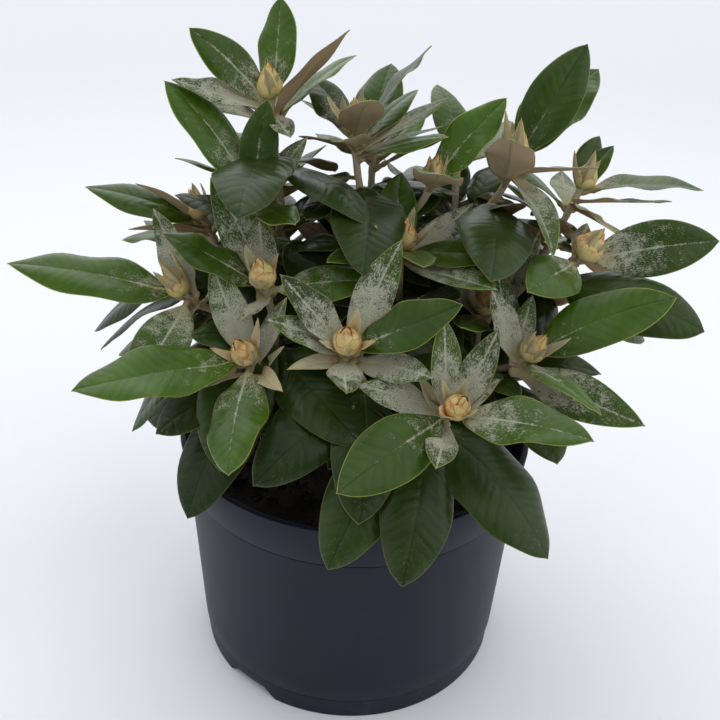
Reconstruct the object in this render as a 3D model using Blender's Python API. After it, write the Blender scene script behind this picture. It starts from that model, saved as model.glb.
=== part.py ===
# Potted rhododendron: a young evergreen shrub in a plain round nursery pot.
# Blender 4.5 script in metres, +Z up. The origin is on the pot's axis, on the surface that the pot stands on.
# Bearings are degrees anticlockwise from +X seen from above, and rises are degrees above the level.
import math
import random

import bmesh
import bpy
from mathutils import Vector
from mathutils.bvhtree import BVHTree

MM = 0.001
GAP = 0.3 * MM  # left between pieces that touch
MERGE = 0.01 * MM

# Pot
POT_HEIGHT = 135 * MM
RIM_RADIUS = 95 * MM
WALL_TOP_RADIUS = 93.2 * MM
BASE_RADIUS = 85.8 * MM
POT_WALL = 1.4 * MM
LIP_DEPTH = 7 * MM
COLLAR_DEPTH = 17 * MM
COLLAR_STEP = 0.8 * MM
FOOT_HEIGHT = 13 * MM
FOOT_STEP = 0.6 * MM
FLOOR_HEIGHT = 7 * MM
PAD_RADIUS = 22 * MM  # the middle of the floor comes down to the ground
PAD_SLOPE = 5 * MM
POT_STEPS = 40
SHARP_ANGLE = 35
ARCH_COUNT = 3
ARCH_BEARING = 232
ARCH_FOOT_WIDTH = 34 * MM
ARCH_TOP_WIDTH = 20 * MM
ARCH_HEIGHT = 5.5 * MM
ARCH_CUT_IN = 12 * MM  # how far the cut goes inside the base radius
ARCH_CUT_OUT = 6 * MM
DRAIN_COUNT = 6
DRAIN_RADIUS = 5 * MM
DRAIN_CIRCLE = 60 * MM
DRAIN_SIDES = 12

# Soil
SOIL_TOP = 117 * MM
SOIL_SWELL = 1.6 * MM
SOIL_FLAT_RADIUS = 22 * MM  # level round the trunk's foot
SOIL_RINGS = 4

# Trunk
TRUNK_FOOT = Vector((4, 6, 0)) * MM
TRUNK_TOP = Vector((1, 11, 0)) * MM
TRUNK_BOW = Vector((-4, 1, 0)) * MM
TRUNK_HEIGHT = 60 * MM
TRUNK_FOOT_RADIUS = 7.2 * MM
TRUNK_TOP_RADIUS = 5.0 * MM
FLARE = 3.2 * MM
FLARE_HEIGHT = 7 * MM
FLARE_LOBES = 5
FLARE_LOBE_SHARE = 0.35
TRUNK_SIDES = 12
TRUNK_RINGS = 9

# Boughs and the twigs of each foliage mass
BOUGH_FOOT_RADIUS = 3.3 * MM
BOUGH_TIP_RADIUS = 2.5 * MM
BOUGH_SIDES = 7
BOUGH_RINGS = 6
BOUGH_FOOT_RISE = 32
STEM_LENGTH = 9 * MM  # from the bough's tip to the fork
STEM_SIDES = 6
TWIG_SINK = 1.5 * MM  # of each twig's foot into the stem
TWIG_RADIUS = 2.0 * MM
SHOOT_RADIUS = 1.8 * MM
TWIG_SIDES = 5
TWIG_RINGS = 4

# Bud on each shoot
BUD_LENGTH = 18 * MM
BUD_RADIUS = 5.2 * MM
BUD_SIDES = 6
BUD_RINGS = 4
BUD_SINK = 1.5 * MM  # of its foot into the shoot
BUD_OUTLINE = 0.8  # power that makes it fattest below its middle and rounds it

# Leaves by kind: width over length, fold of the edges, arch of the midrib
FELTED, GREEN, THIN, OLD = "felted", "green", "thin", "old"
LEAF_SHAPES = {
    FELTED: (0.40, 0.16, 0.02),
    GREEN: (0.44, 0.06, 0.04),
    THIN: (0.25, 0.20, 0.03),
    OLD: (0.48, -0.04, 0.07),
}
LEAF_STATIONS = (0, 0.10, 0.34, 0.70, 1)
SMALL_LEAF_STATIONS = (0, 0.30, 0.68, 1)
SMALL_LEAF = 40 * MM
PETIOLE_END = 0.09
LEAF_WIDEST = 0.92  # power that moves the widest part towards the tip
LEAF_FULLNESS = 0.9  # power that rounds the outline
PETIOLE_HALF_WIDTH = 0.9 * MM
STALK_SHARE = 0.12  # a leaf is stalk up to here, as thick as it is wide
LEAF_THICKNESS_SHARE = 0.013  # of its length, at the midrib
LEAF_LEAST_THICKNESS = 0.8 * MM
LEAF_CLEARANCE = 0.5 * MM
LEAF_STEP = 1.7 * MM  # between the roots of leaves up a shoot
FIRST_LEAF_DROP = 3 * MM  # of the topmost leaf's root below the shoot's end
ROOT_OFFSET = 0.7 * MM  # of a leaf's root from its shoot's middle
OLD_LEAF_DROP = 24 * MM
OLD_LEAF_STEP = 5 * MM
BLADE_START = 0.34  # from here out the leaves of one mass keep clear of each other
NEARBY_SHARE = 0.62  # leaves whose middles are further apart than this of their lengths can't touch

# Leaves grown by rule: degrees from the shoot's direction, and length in mm
GROWN_SPREAD = {THIN: (24, 40), FELTED: (48, 78), GREEN: (48, 78), OLD: (88, 112)}
GROWN_LENGTH = {THIN: (24, 32), FELTED: (46, 64), GREEN: (46, 64), OLD: (66, 82)}
GOLDEN_ANGLE = 137.5
INNER_SHARE = 0.3  # of the young leaves, which are thin
LEAVES_APART = 20  # degrees between two leaves of a shoot
OLD_LEAST_RISE = -32
SHOOT_REACH = 45 * MM  # a shoot's own leaves have their roots this near its end
FULL_YOUNG_LEAVES = 8
FULL_OLD_LEAVES = 3
TRIES = 40
SEED = 8

# Turns tried about the direction of a leaf set by hand, in degrees, where it would touch something
NUDGE_SIZES = (5, 10, 15, 20)
NUDGE_WAYS = 8
NUDGE_SHORTER = 0.008  # of its length for each degree
PATH_STEPS = 40


class Shoot:
    """One shoot: where it ends in mm, how it leans as (bearing, rise), and the leaves that are set by hand.
    Each leaf is (bearing, rise, length in mm) and, where it is turned about its midrib, the degrees of roll.
    The rest of its leaves are grown by rule."""

    def __init__(self, tip, lean, felted=(), green=(), thin=(), old=()):
        self.tip = Vector(tip) * MM
        self.lean = direction(*lean)
        self.leaves = [(kind, *leaf) for kind, leaves in
                       ((GREEN, green), (FELTED, felted), (THIN, thin), (OLD, old)) for leaf in leaves]


def direction(bearing, rise):
    across = math.cos(math.radians(rise))
    return Vector((across * math.cos(math.radians(bearing)), across * math.sin(math.radians(bearing)),
                   math.sin(math.radians(rise))))


# Foliage masses: the height on the trunk where the bough leaves it, the bough's tip, and the shoots
MASSES = {
    "front": (15, (14, -34, 158), [
        Shoot((-5, -55, 211), (270, 60),
              felted=[(175, 50, 48), (40, 60, 58), (200, 33, 45), (270, 12, 48), (320, 12, 48)],
              green=[(350, 32, 58)], thin=[(215, 12, 35), (45, 77, 28)],
              old=[(271, -28, 72), (231, -17, 76)]),
        Shoot((44, -78, 193), (290, 55),
              felted=[(115, 76, 46), (30, 64, 48), (190, 30, 47), (262, 4, 44), (355, 42, 34)],
              green=[(225, -7, 70), (325, 14, 67)], thin=[(170, 65, 24), (310, 35, 26)],
              old=[(262, -33, 78), (317, -24, 86), (240, -30, 82)]),
    ]),
    "front_left": (23, (-34, -22, 164), [
        Shoot((-52, -45, 197), (235, 60),
              felted=[(140, 59, 53), (35, 62, 37)],
              green=[(205, 2, 82), (268, -13, 68)], thin=[(215, -3, 37), (293, 15, 38), (330, 52, 22)],
              old=[(236, -36, 80), (215, -8, 66)]),
        Shoot((-46, -20, 225), (240, 70),
              felted=[(110, 66, 40), (252, 5, 30), (145, 57, 68)],
              green=[(185, 32, 55), (350, 12, 64)]),
    ]),
    "left": (34, (-56, 2, 184), [
        Shoot((-88, -10, 214), (190, 55),
              felted=[(140, 58, 49, -20), (120, 62, 29), (238, -11, 40, 40)],
              green=[(188, 14, 86, 20), (255, -18, 68, 40)], thin=[(305, 35, 30)],
              old=[(200, -24, 74), (165, -26, 76)]),
        Shoot((-84, 30, 239), (160, 65),
              felted=[(205, 16, 40, -15)],
              green=[(185, 18, 62, 35)], thin=[(175, 29, 46), (220, 9, 46), (190, 24, 51, 20)]),
    ]),
    "upper_left": (47, (-36, 30, 205), [
        Shoot((-56, 15, 259), (200, 75),
              felted=[(340, 52, 29, -40), (20, 54, 43, -30)],
              green=[(160, 49, 70), (65, 75, 49, -45), (297, -5, 58)]),
        Shoot((-49, 45, 299), (120, 80),
              felted=[(190, 15, 53, 30), (290, -5, 36)],
              green=[(85, 62, 54), (175, 43, 54, 60)], old=[(140, -9, 60)]),
    ]),
    "top": (60, (0, 27, 212), [
        Shoot((-6, 42, 284), (110, 84), green=[(280, 35, 55), (20, 50, 60)]),
        Shoot((34, 30, 262), (320, 78), green=[(270, 25, 60), (30, 45, 62)]),
    ]),
    "middle": (52, (20, 0, 196), [
        Shoot((20, -2, 240), (290, 74), green=[(265, 15, 55), (340, 10, 60)]),
    ]),
    "right_low": (25, (54, -14, 166), [
        Shoot((82, -35, 199), (320, 60),
              felted=[(130, 64, 48, 20), (190, 67, 44, 40), (50, 76, 36, 20), (325, -5, 69, -20)],
              green=[(5, 27, 77), (300, 3, 56)], old=[(290, -8, 68), (345, 12, 56)]),
        Shoot((63, 0, 205), (300, 75),
              felted=[(160, 55, 40), (30, 54, 55)], green=[(250, 18, 45)], old=[(120, 45, 61)]),
    ]),
    "right": (34, (80, 28, 196), [
        Shoot((117, 55, 255), (30, 65),
              green=[(0, 5, 66, -10), (60, 45, 38), (35, 42, 37)],
              felted=[(335, 9, 50), (288, 4, 34)], thin=[(315, -14, 41)]),
        Shoot((114, 20, 229), (350, 60),
              green=[(0, 12, 73, -45), (240, 9, 65)], felted=[(70, 15, 38)],
              old=[(330, -2, 85, -35), (5, -26, 76)]),
    ]),
    "upper_right": (43, (46, 42, 210), [
        Shoot((77, 40, 274), (60, 75),
              green=[(35, 54, 70, -50), (45, 33, 80, -20), (30, 41, 31)],
              felted=[(335, 12, 45)], thin=[(284, -16, 66)]),
        Shoot((52, 74, 262), (65, 72), green=[(100, 30, 66), (60, 10, 70)]),
    ]),
    "back_left": (20, (-38, 48, 168), [
        Shoot((-52, 70, 246), (125, 70), green=[(140, 28, 68)], old=[(110, -10, 74)]),
        Shoot((-70, 66, 200), (140, 52), green=[(150, 8, 76)], old=[(120, -26, 76), (165, -24, 74)]),
    ]),
    "back": (30, (4, 52, 176), [
        Shoot((4, 72, 270), (90, 78), green=[(80, 36, 62), (110, 12, 70)]),
        Shoot((-6, 84, 206), (95, 54), green=[(85, 4, 74)], old=[(100, -30, 78), (70, -28, 76)]),
    ]),
    "back_right": (14, (44, 48, 160), [
        Shoot((74, 66, 198), (45, 54), green=[(40, 8, 76)], old=[(60, -28, 76), (20, -26, 76)]),
        Shoot((40, 84, 226), (75, 64), green=[(95, 10, 70)], old=[(75, -14, 74)]),
    ]),
}


def material(name, colour, roughness):
    made = bpy.data.materials.new(name)
    made.use_nodes = True
    shader = made.node_tree.nodes["Principled BSDF"]
    shader.inputs["Base Color"].default_value = (*colour, 1)
    shader.inputs["Roughness"].default_value = roughness
    return made


def add_object(name, points, faces, look):
    mesh = bpy.data.meshes.new(name)
    mesh.from_pydata([tuple(p) for p in points], [], faces)
    mesh.materials.append(look)
    made = bpy.data.objects.new(name, mesh)
    bpy.context.scene.collection.objects.link(made)
    return made


def clear_scene():
    for old in list(bpy.data.objects):
        bpy.data.objects.remove(old, do_unlink=True)


# Pot and soil

def wall_radius(height):
    return BASE_RADIUS + (WALL_TOP_RADIUS - BASE_RADIUS) * height / POT_HEIGHT


def turned(name, profile, steps, look):
    """Solid turned round Z from (radius, height) points that start and end on the axis."""
    shape = bmesh.new()
    points = [shape.verts.new((radius, 0, height)) for radius, height in profile]
    edges = [shape.edges.new(pair) for pair in zip(points, points[1:])]
    bmesh.ops.spin(shape, geom=points + edges, axis=(0, 0, 1), cent=(0, 0, 0), steps=steps, angle=math.tau)
    bmesh.ops.remove_doubles(shape, verts=shape.verts, dist=MERGE)
    bmesh.ops.recalc_face_normals(shape, faces=shape.faces)
    mesh = bpy.data.meshes.new(name)
    shape.to_mesh(mesh)
    shape.free()
    mesh.materials.append(look)
    mesh.shade_smooth()
    mesh.set_sharp_from_angle(angle=math.radians(SHARP_ANGLE))
    made = bpy.data.objects.new(name, mesh)
    bpy.context.scene.collection.objects.link(made)
    return made


def pot_profile():
    """Underside, outer wall, rim and inner wall, from the axis out and back to the axis."""
    collar = POT_HEIGHT - COLLAR_DEPTH
    lip = POT_HEIGHT - LIP_DEPTH
    return [
        (0, 0), (PAD_RADIUS, 0), (PAD_RADIUS + PAD_SLOPE, FLOOR_HEIGHT),
        (wall_radius(FLOOR_HEIGHT) - POT_WALL - FOOT_STEP, FLOOR_HEIGHT),
        (BASE_RADIUS - POT_WALL - FOOT_STEP, 0), (BASE_RADIUS, 0),
        (wall_radius(FOOT_HEIGHT), FOOT_HEIGHT),
        (wall_radius(FOOT_HEIGHT) + FOOT_STEP, FOOT_HEIGHT + FOOT_STEP),
        (wall_radius(collar), collar), (wall_radius(collar) + COLLAR_STEP, collar + COLLAR_STEP),
        (wall_radius(lip) + COLLAR_STEP, lip), (RIM_RADIUS, lip + COLLAR_STEP),
        (RIM_RADIUS, POT_HEIGHT - COLLAR_STEP), (RIM_RADIUS - COLLAR_STEP, POT_HEIGHT),
        (inner_radius(POT_HEIGHT), POT_HEIGHT),
        (inner_radius(FLOOR_HEIGHT + POT_WALL), FLOOR_HEIGHT + POT_WALL),
        (PAD_RADIUS + PAD_SLOPE - POT_WALL, FLOOR_HEIGHT + POT_WALL),
        (PAD_RADIUS - POT_WALL, POT_WALL), (0, POT_WALL),
    ]


def inner_radius(height):
    return wall_radius(height) - POT_WALL


def cutter(name, points, faces):
    made = add_object(name, points, faces, bpy.data.materials["pot_plastic"])
    made.hide_render = True
    made.display_type = "WIRE"
    return made


def arch_cutter(index):
    """Wedge through the foot: wide at the ground, narrower at its top."""
    turn = math.radians(ARCH_BEARING + 360 * index / ARCH_COUNT)
    along, across = Vector((math.cos(turn), math.sin(turn), 0)), Vector((-math.sin(turn), math.cos(turn), 0))
    near, far = BASE_RADIUS - ARCH_CUT_IN, BASE_RADIUS + ARCH_CUT_OUT
    outline = [(-ARCH_FOOT_WIDTH / 2, -MM), (ARCH_FOOT_WIDTH / 2, -MM),
               (ARCH_TOP_WIDTH / 2, ARCH_HEIGHT), (-ARCH_TOP_WIDTH / 2, ARCH_HEIGHT)]
    points = [along * reach + across * side + Vector((0, 0, height))
              for reach in (near, far) for side, height in outline]
    faces = [(3, 2, 1, 0), (4, 5, 6, 7)] + [(i, (i + 1) % 4, (i + 1) % 4 + 4, i + 4) for i in range(4)]
    return cutter(f"arch_cutter_{index}", points, faces)


def drain_cutter(index):
    turn = math.radians(ARCH_BEARING + 360 * index / DRAIN_COUNT)
    middle = (DRAIN_CIRCLE * math.cos(turn), DRAIN_CIRCLE * math.sin(turn), FLOOR_HEIGHT + POT_WALL / 2)
    bpy.ops.mesh.primitive_cylinder_add(vertices=DRAIN_SIDES, radius=DRAIN_RADIUS, depth=4 * POT_WALL,
                                        location=middle)
    made = bpy.context.active_object
    made.name = f"drain_cutter_{index}"
    made.hide_render = True
    made.display_type = "WIRE"
    return made


def cut(made, cutters):
    for tool in cutters:
        step = made.modifiers.new(tool.name, "BOOLEAN")
        step.operation = "DIFFERENCE"
        step.object = tool


def pot():
    look = material("pot_plastic", (0.022, 0.024, 0.034), 0.5)
    made = turned("pot", pot_profile(), POT_STEPS, look)
    cut(made, [arch_cutter(i) for i in range(ARCH_COUNT)] + [drain_cutter(i) for i in range(DRAIN_COUNT)])
    return made


def soil_height(x, y):
    """Low swells that die out round the trunk."""
    away = min(1, max(0, (math.hypot(x, y) - SOIL_FLAT_RADIUS) / SOIL_FLAT_RADIUS))
    waves = math.sin(95 * x + 1) * math.cos(80 * y) + 0.5 * math.sin(170 * y - 110 * x)
    return SOIL_TOP + SOIL_SWELL * away * waves / 1.5


def soil():
    look = material("soil", (0.03, 0.022, 0.016), 0.95)
    low = FLOOR_HEIGHT + POT_WALL + GAP
    edge = inner_radius(SOIL_TOP) - GAP
    under = [(0, POT_WALL + GAP), (PAD_RADIUS - POT_WALL - GAP, POT_WALL + GAP),
             (PAD_RADIUS + PAD_SLOPE - POT_WALL - GAP, low), (inner_radius(low) - GAP, low)]
    over = [(edge * (SOIL_RINGS - i) / SOIL_RINGS, SOIL_TOP) for i in range(SOIL_RINGS + 1)]
    made = turned("soil", under + over, POT_STEPS, look)
    for vertex in made.data.vertices:
        if vertex.co.z > SOIL_TOP - MM and vertex.co.xy.length < edge - MM:
            vertex.co.z = soil_height(vertex.co.x, vertex.co.y)
    return made


# Trunk, boughs and twigs

def bezier(start, start_way, end, end_way, share=0.38):
    """Smooth path from start to end that leaves and arrives along the given directions."""
    reach = (end - start).length * share
    a, b = start + start_way * reach, end - end_way * reach

    def at(t):
        s = 1 - t
        return start * s ** 3 + a * 3 * s * s * t + b * 3 * s * t * t + end * t ** 3
    return at


def tube(path, radius, sides, rings):
    """Closed tapering tube: path and radius are functions of 0 to 1."""
    points, faces = [], []
    side = None
    for ring in range(rings):
        t = ring / (rings - 1)
        way = (path(min(1, t + 0.01)) - path(max(0, t - 0.01))).normalized()
        side = (side or way.orthogonal())
        side = (side - way * side.dot(way)).normalized()
        other = way.cross(side)
        for k in range(sides):
            turn = math.tau * k / sides
            points.append(path(t) + (side * math.cos(turn) + other * math.sin(turn)) * radius(t, turn))
    for ring in range(rings - 1):
        for k in range(sides):
            a, b = ring * sides + k, ring * sides + (k + 1) % sides
            faces.append((a, b, b + sides, a + sides))
    faces.append(tuple(reversed(range(sides))))
    faces.append(tuple(range((rings - 1) * sides, rings * sides)))
    return points, faces


def taper(foot, tip):
    return lambda t, turn: foot + (tip - foot) * t


def trunk_path(t):
    foot = TRUNK_FOOT + Vector((0, 0, SOIL_TOP + GAP))
    top = TRUNK_TOP + Vector((0, 0, SOIL_TOP + TRUNK_HEIGHT))
    return foot.lerp(top, t) + TRUNK_BOW * math.sin(math.pi * t)


def trunk_radius(t, turn, more=0.0):
    rise = t * TRUNK_HEIGHT
    flare = FLARE * math.exp(-rise / FLARE_HEIGHT) * (1 + FLARE_LOBE_SHARE * math.cos(FLARE_LOBES * turn))
    return TRUNK_FOOT_RADIUS + (TRUNK_TOP_RADIUS - TRUNK_FOOT_RADIUS) * t + flare + more


def trunk(bark):
    """The foot is cut flat at the soil, so its first ring is set level."""
    points, faces = tube(trunk_path, trunk_radius, TRUNK_SIDES, TRUNK_RINGS)
    for point in points[:TRUNK_SIDES]:
        point.z = SOIL_TOP + GAP
    return add_object("trunk", points, faces, bark)


def trunk_cutter():
    """The trunk with the gap added all round, to cut the feet of the boughs to its shape."""
    points, faces = tube(trunk_path, lambda t, turn: trunk_radius(t, turn, GAP), TRUNK_SIDES, TRUNK_RINGS)
    return cutter("trunk_cutter", points, faces)


def bough(name, height, tip, carries, bark, tool):
    """One tapering limb from the trunk to the mass that it carries. The one at the top goes straight on."""
    tip = Vector(tip) * MM
    middle = sum((shoot.tip for shoot in carries), Vector()) / len(carries)
    end_way = (middle - tip).normalized()
    share = min(1, height * MM / TRUNK_HEIGHT)
    start = trunk_path(share)
    if share == 1:
        start_way = (start - trunk_path(0.98)).normalized()
        start = start + start_way * GAP
    else:
        out = math.degrees(math.atan2(tip.y - start.y, tip.x - start.x))
        start_way = direction(out, BOUGH_FOOT_RISE)
    path = bezier(start, start_way, tip, end_way)
    points, faces = tube(path, taper(BOUGH_FOOT_RADIUS, BOUGH_TIP_RADIUS), BOUGH_SIDES, BOUGH_RINGS)
    made = add_object("bough_" + name, points, faces, bark)
    if share < 1:
        cut(made, [tool])
    return made, tip, end_way


def trimmed(made):
    """The object's mesh with its modifiers applied, as points and faces."""
    bpy.context.view_layer.update()
    whole = made.evaluated_get(bpy.context.evaluated_depsgraph_get()).to_mesh()
    points = [vertex.co.copy() for vertex in whole.vertices]
    faces = [tuple(face.vertices) for face in whole.polygons]
    made.evaluated_get(bpy.context.evaluated_depsgraph_get()).to_mesh_clear()
    return points, faces


# Leaves and buds

class Leaf:
    """A leaf in its own frame: way along it, side across it and up out of its upper face."""

    def __init__(self, kind, root, axis, bearing, rise, length, roll=0):
        self.kind = kind
        self.length = length
        self.way = direction(bearing, rise)
        side = axis.cross(self.way).normalized()
        up = self.way.cross(side)
        self.root = root + side.cross(axis) * ROOT_OFFSET
        self.side = side * math.cos(math.radians(roll)) - up * math.sin(math.radians(roll))
        self.up = up * math.cos(math.radians(roll)) + side * math.sin(math.radians(roll))
        self.middle = self.root + self.way * length / 2

    def mesh(self, grow=0.0, start=0.0):
        """Four-sided sections, each of two thin edges, the midrib and its keel, up to a point."""
        share, fold, arch = LEAF_SHAPES[self.kind]
        stations = SMALL_LEAF_STATIONS if self.length < SMALL_LEAF else LEAF_STATIONS
        thick = max(LEAF_LEAST_THICKNESS, LEAF_THICKNESS_SHARE * self.length) / 2 + grow
        points, faces = [], []
        for t in stations:
            if t < start:
                continue
            raised = self.length * arch * 4 * t * (1 - t)
            middle = self.root + self.way * (self.length * t) + self.up * raised
            if t == 1:
                points.append(middle + self.way * grow)
                break
            blade = max(0, (t - PETIOLE_END) / (1 - PETIOLE_END))
            outline = math.sin(math.pi * blade ** LEAF_WIDEST) ** LEAF_FULLNESS
            wide = max(PETIOLE_HALF_WIDTH, share * self.length / 2 * outline) + grow
            edge = self.up * (fold * wide)
            high = max(thick, PETIOLE_HALF_WIDTH + grow) if t <= STALK_SHARE else thick
            points += [middle - self.side * wide + edge, middle - self.up * high,
                       middle + self.side * wide + edge, middle + self.up * high]
        rings = (len(points) - 1) // 4
        for ring in range(rings - 1):
            for k in range(4):
                a, b = ring * 4 + k, ring * 4 + (k + 1) % 4
                # Both faces of the blade are split the same way, from an edge to the next midrib point
                if k % 2 == 0:
                    faces += [(a, b, b + 4), (a, b + 4, a + 4)]
                else:
                    faces += [(a, b, a + 4), (b, b + 4, a + 4)]
        last = rings * 4
        faces += [(last - 4 + k, last - 4 + (k + 1) % 4, last) for k in range(4)]
        faces.append((3, 2, 1, 0))
        return points, faces

    def tree(self, grow=0.0, start=0.0):
        return BVHTree.FromPolygons(*self.mesh(grow, start))


def bud(tip, axis):
    """Pointed oval, fattest below its middle, on the end of its shoot."""
    foot = tip - axis * BUD_SINK
    side = axis.orthogonal().normalized()
    other = axis.cross(side)
    points, faces = [foot], []
    for ring in range(1, BUD_RINGS):
        t = ring / BUD_RINGS
        wide = BUD_RADIUS * math.sin(math.pi * t ** BUD_OUTLINE) ** BUD_OUTLINE
        for k in range(BUD_SIDES):
            turn = math.tau * (k + 0.5 * ring) / BUD_SIDES
            out = side * math.cos(turn) + other * math.sin(turn)
            points.append(foot + axis * (BUD_LENGTH * t) + out * wide)
    points.append(foot + axis * BUD_LENGTH)
    last = len(points) - 1
    for k in range(BUD_SIDES):
        a, b = 1 + k, 1 + (k + 1) % BUD_SIDES
        faces.append((0, b, a))
        for ring in range(BUD_RINGS - 2):
            low = ring * BUD_SIDES
            high = low + BUD_SIDES
            faces += [(low + a, low + b, high + a), (low + b, high + b, high + a)]
        top = (BUD_RINGS - 2) * BUD_SIDES
        faces.append((top + a, top + b, last))
    return points, faces


class Crown:
    """Grows the leaves of every mass, each clear of what is there already."""

    def __init__(self, limbs):
        self.limbs = limbs  # (mass name or None, tree) of the pot, soil, trunk, boughs and twigs
        self.leaves = []  # (mass name, leaf, whole tree, blade tree)

    def is_free(self, mass, leaf):
        blade = leaf.tree(LEAF_CLEARANCE, BLADE_START)
        whole = leaf.tree(LEAF_CLEARANCE)
        for owner, tree in self.limbs:
            if (blade if owner == mass else whole).overlap(tree):
                return False
        for owner, other, other_whole, other_blade in self.leaves:
            if (leaf.middle - other.middle).length > (leaf.length + other.length) * NEARBY_SHARE:
                continue
            if owner == mass and blade.overlap(other_blade):
                return False
            if owner != mass and whole.overlap(other_whole):
                return False
        return True

    def keep(self, mass, leaf):
        self.leaves.append((mass, leaf, leaf.tree(), leaf.tree(0, BLADE_START)))


def nudges():
    """Small turns about a leaf's own direction, nearest first, then the same a little shorter."""
    yield 0, 0, 1
    for size in NUDGE_SIZES:
        for k in range(NUDGE_WAYS):
            turn = math.tau * k / NUDGE_WAYS
            yield size * math.cos(turn), size * math.sin(turn), 1 - NUDGE_SHORTER * size


def shoot_point(path, down):
    """The point this far below the shoot's end, along its path."""
    point, walked = path(1), 0
    for i in range(PATH_STEPS - 1, -1, -1):
        below = path(i / PATH_STEPS)
        length = (point - below).length
        if walked + length >= down:
            return point.lerp(below, (down - walked) / length)
        point, walked = below, walked + length
    return point


def set_leaves(crown, mass, shoot, path):
    """The leaves set by hand, young ones near the bud and old ones lower down."""
    young = old = 0
    for kind, bearing, rise, length, *roll in shoot.leaves:
        if kind == OLD:
            down = OLD_LEAF_DROP + OLD_LEAF_STEP * old
        else:
            down = FIRST_LEAF_DROP + LEAF_STEP * young
        root = shoot_point(path, down)
        for turn, lift, share in nudges():
            leaf = Leaf(kind, root, shoot.lean, bearing + turn, rise + lift, length * share * MM, *roll)
            if crown.is_free(mass, leaf):
                crown.keep(mass, leaf)
                old, young = old + (kind == OLD), young + (kind != OLD)
                break


def grown_leaves(crown, mass, shoot, path, chance):
    """Leaves by rule: round the shoot by the golden angle, the inner ones short and upright, the outer ones
    longer and more spread, and last the old ones below."""
    side = shoot.lean.orthogonal().normalized()
    other = shoot.lean.cross(side)
    mine = [leaf for owner, leaf, *_ in crown.leaves
            if owner == mass and (leaf.root - shoot.tip).length < SHOOT_REACH]
    old = sum(leaf.kind == OLD for leaf in mine)
    young = len(mine) - old
    turn = chance.uniform(0, math.tau)
    for i in range(TRIES):
        turn += math.radians(GOLDEN_ANGLE)
        if young < FULL_YOUNG_LEAVES:
            inner = young < INNER_SHARE * FULL_YOUNG_LEAVES and len(mine) > FULL_OLD_LEAVES
            kind = THIN if inner else (FELTED if i % 2 else GREEN)
            down = FIRST_LEAF_DROP + LEAF_STEP * young
        elif old < FULL_OLD_LEAVES:
            kind = OLD
            down = OLD_LEAF_DROP + OLD_LEAF_STEP * old
        else:
            break
        spread = math.radians(chance.uniform(*GROWN_SPREAD[kind]))
        length = chance.uniform(*GROWN_LENGTH[kind]) * MM
        out = side * math.cos(turn) + other * math.sin(turn)
        way = shoot.lean * math.cos(spread) + out * math.sin(spread)
        bearing = math.degrees(math.atan2(way.y, way.x))
        rise = math.degrees(math.asin(way.z))
        if kind == OLD:
            rise = max(OLD_LEAST_RISE, min(rise, 0))
        leaf = Leaf(kind, shoot_point(path, down), shoot.lean, bearing, rise, length)
        near = any(leaf.way.angle(known.way) < math.radians(LEAVES_APART) for known in mine)
        if not near and crown.is_free(mass, leaf):
            crown.keep(mass, leaf)
            mine.append(leaf)
            old, young = old + (kind == OLD), young + (kind != OLD)


# Joining a mass

def only_main_body(mesh):
    """Keeps the largest closed body: hollows that the union sealed are filled and loose scraps dropped."""
    shape = bmesh.new()
    shape.from_mesh(mesh)
    bmesh.ops.triangulate(shape, faces=shape.faces)
    left, bodies = set(shape.faces), []
    while left:
        body, edge = set(), [left.pop()]
        while edge:
            face = edge.pop()
            body.add(face)
            for side in face.edges:
                for near in side.link_faces:
                    if near in left:
                        left.remove(near)
                        edge.append(near)
        bodies.append(body)

    def volume(body):
        return sum(face.verts[0].co.dot(face.verts[1].co.cross(face.verts[2].co)) for face in body) / 6
    keep = max(bodies, key=volume)
    rest = [face for body in bodies if body is not keep for face in body]
    bmesh.ops.delete(shape, geom=rest, context="FACES")
    shape.to_mesh(mesh)
    shape.free()


def joined(name, stem, pieces, look):
    """One solid of the stem with its twigs, buds and leaves."""
    made = add_object(name, *stem, look)
    group = bpy.data.collections.new(name + "_pieces")
    for i, (points, faces) in enumerate(pieces):
        piece = add_object(f"{name}_piece_{i}", points, faces, look)
        bpy.context.scene.collection.objects.unlink(piece)
        group.objects.link(piece)
    union = made.modifiers.new("union", "BOOLEAN")
    union.operation = "UNION"
    union.operand_type = "COLLECTION"
    union.collection = group
    union.solver = "EXACT"
    bpy.context.view_layer.update()
    whole = bpy.data.meshes.new_from_object(made.evaluated_get(bpy.context.evaluated_depsgraph_get()))
    made.modifiers.clear()
    made.data = whole
    for piece in list(group.objects):
        bpy.data.objects.remove(piece, do_unlink=True)
    bpy.data.collections.remove(group)
    only_main_body(whole)
    return made


def stem_and_twigs(end, way, shoots):
    """The stem that goes on from the bough's end, and a path and a tube for the twig to each shoot."""
    foot, fork = end + way * GAP, end + way * (GAP + STEM_LENGTH)
    stem = tube(lambda t: foot.lerp(fork, t), taper(BOUGH_TIP_RADIUS, BOUGH_TIP_RADIUS), STEM_SIDES, 2)
    start = fork - way * TWIG_SINK
    twigs = []
    for shoot in shoots:
        start_way = (way + (shoot.tip - start).normalized()).normalized()
        path = bezier(start, start_way, shoot.tip, shoot.lean)
        twigs.append((path, tube(path, taper(TWIG_RADIUS, SHOOT_RADIUS), TWIG_SIDES, TWIG_RINGS)))
    return stem, twigs


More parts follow.
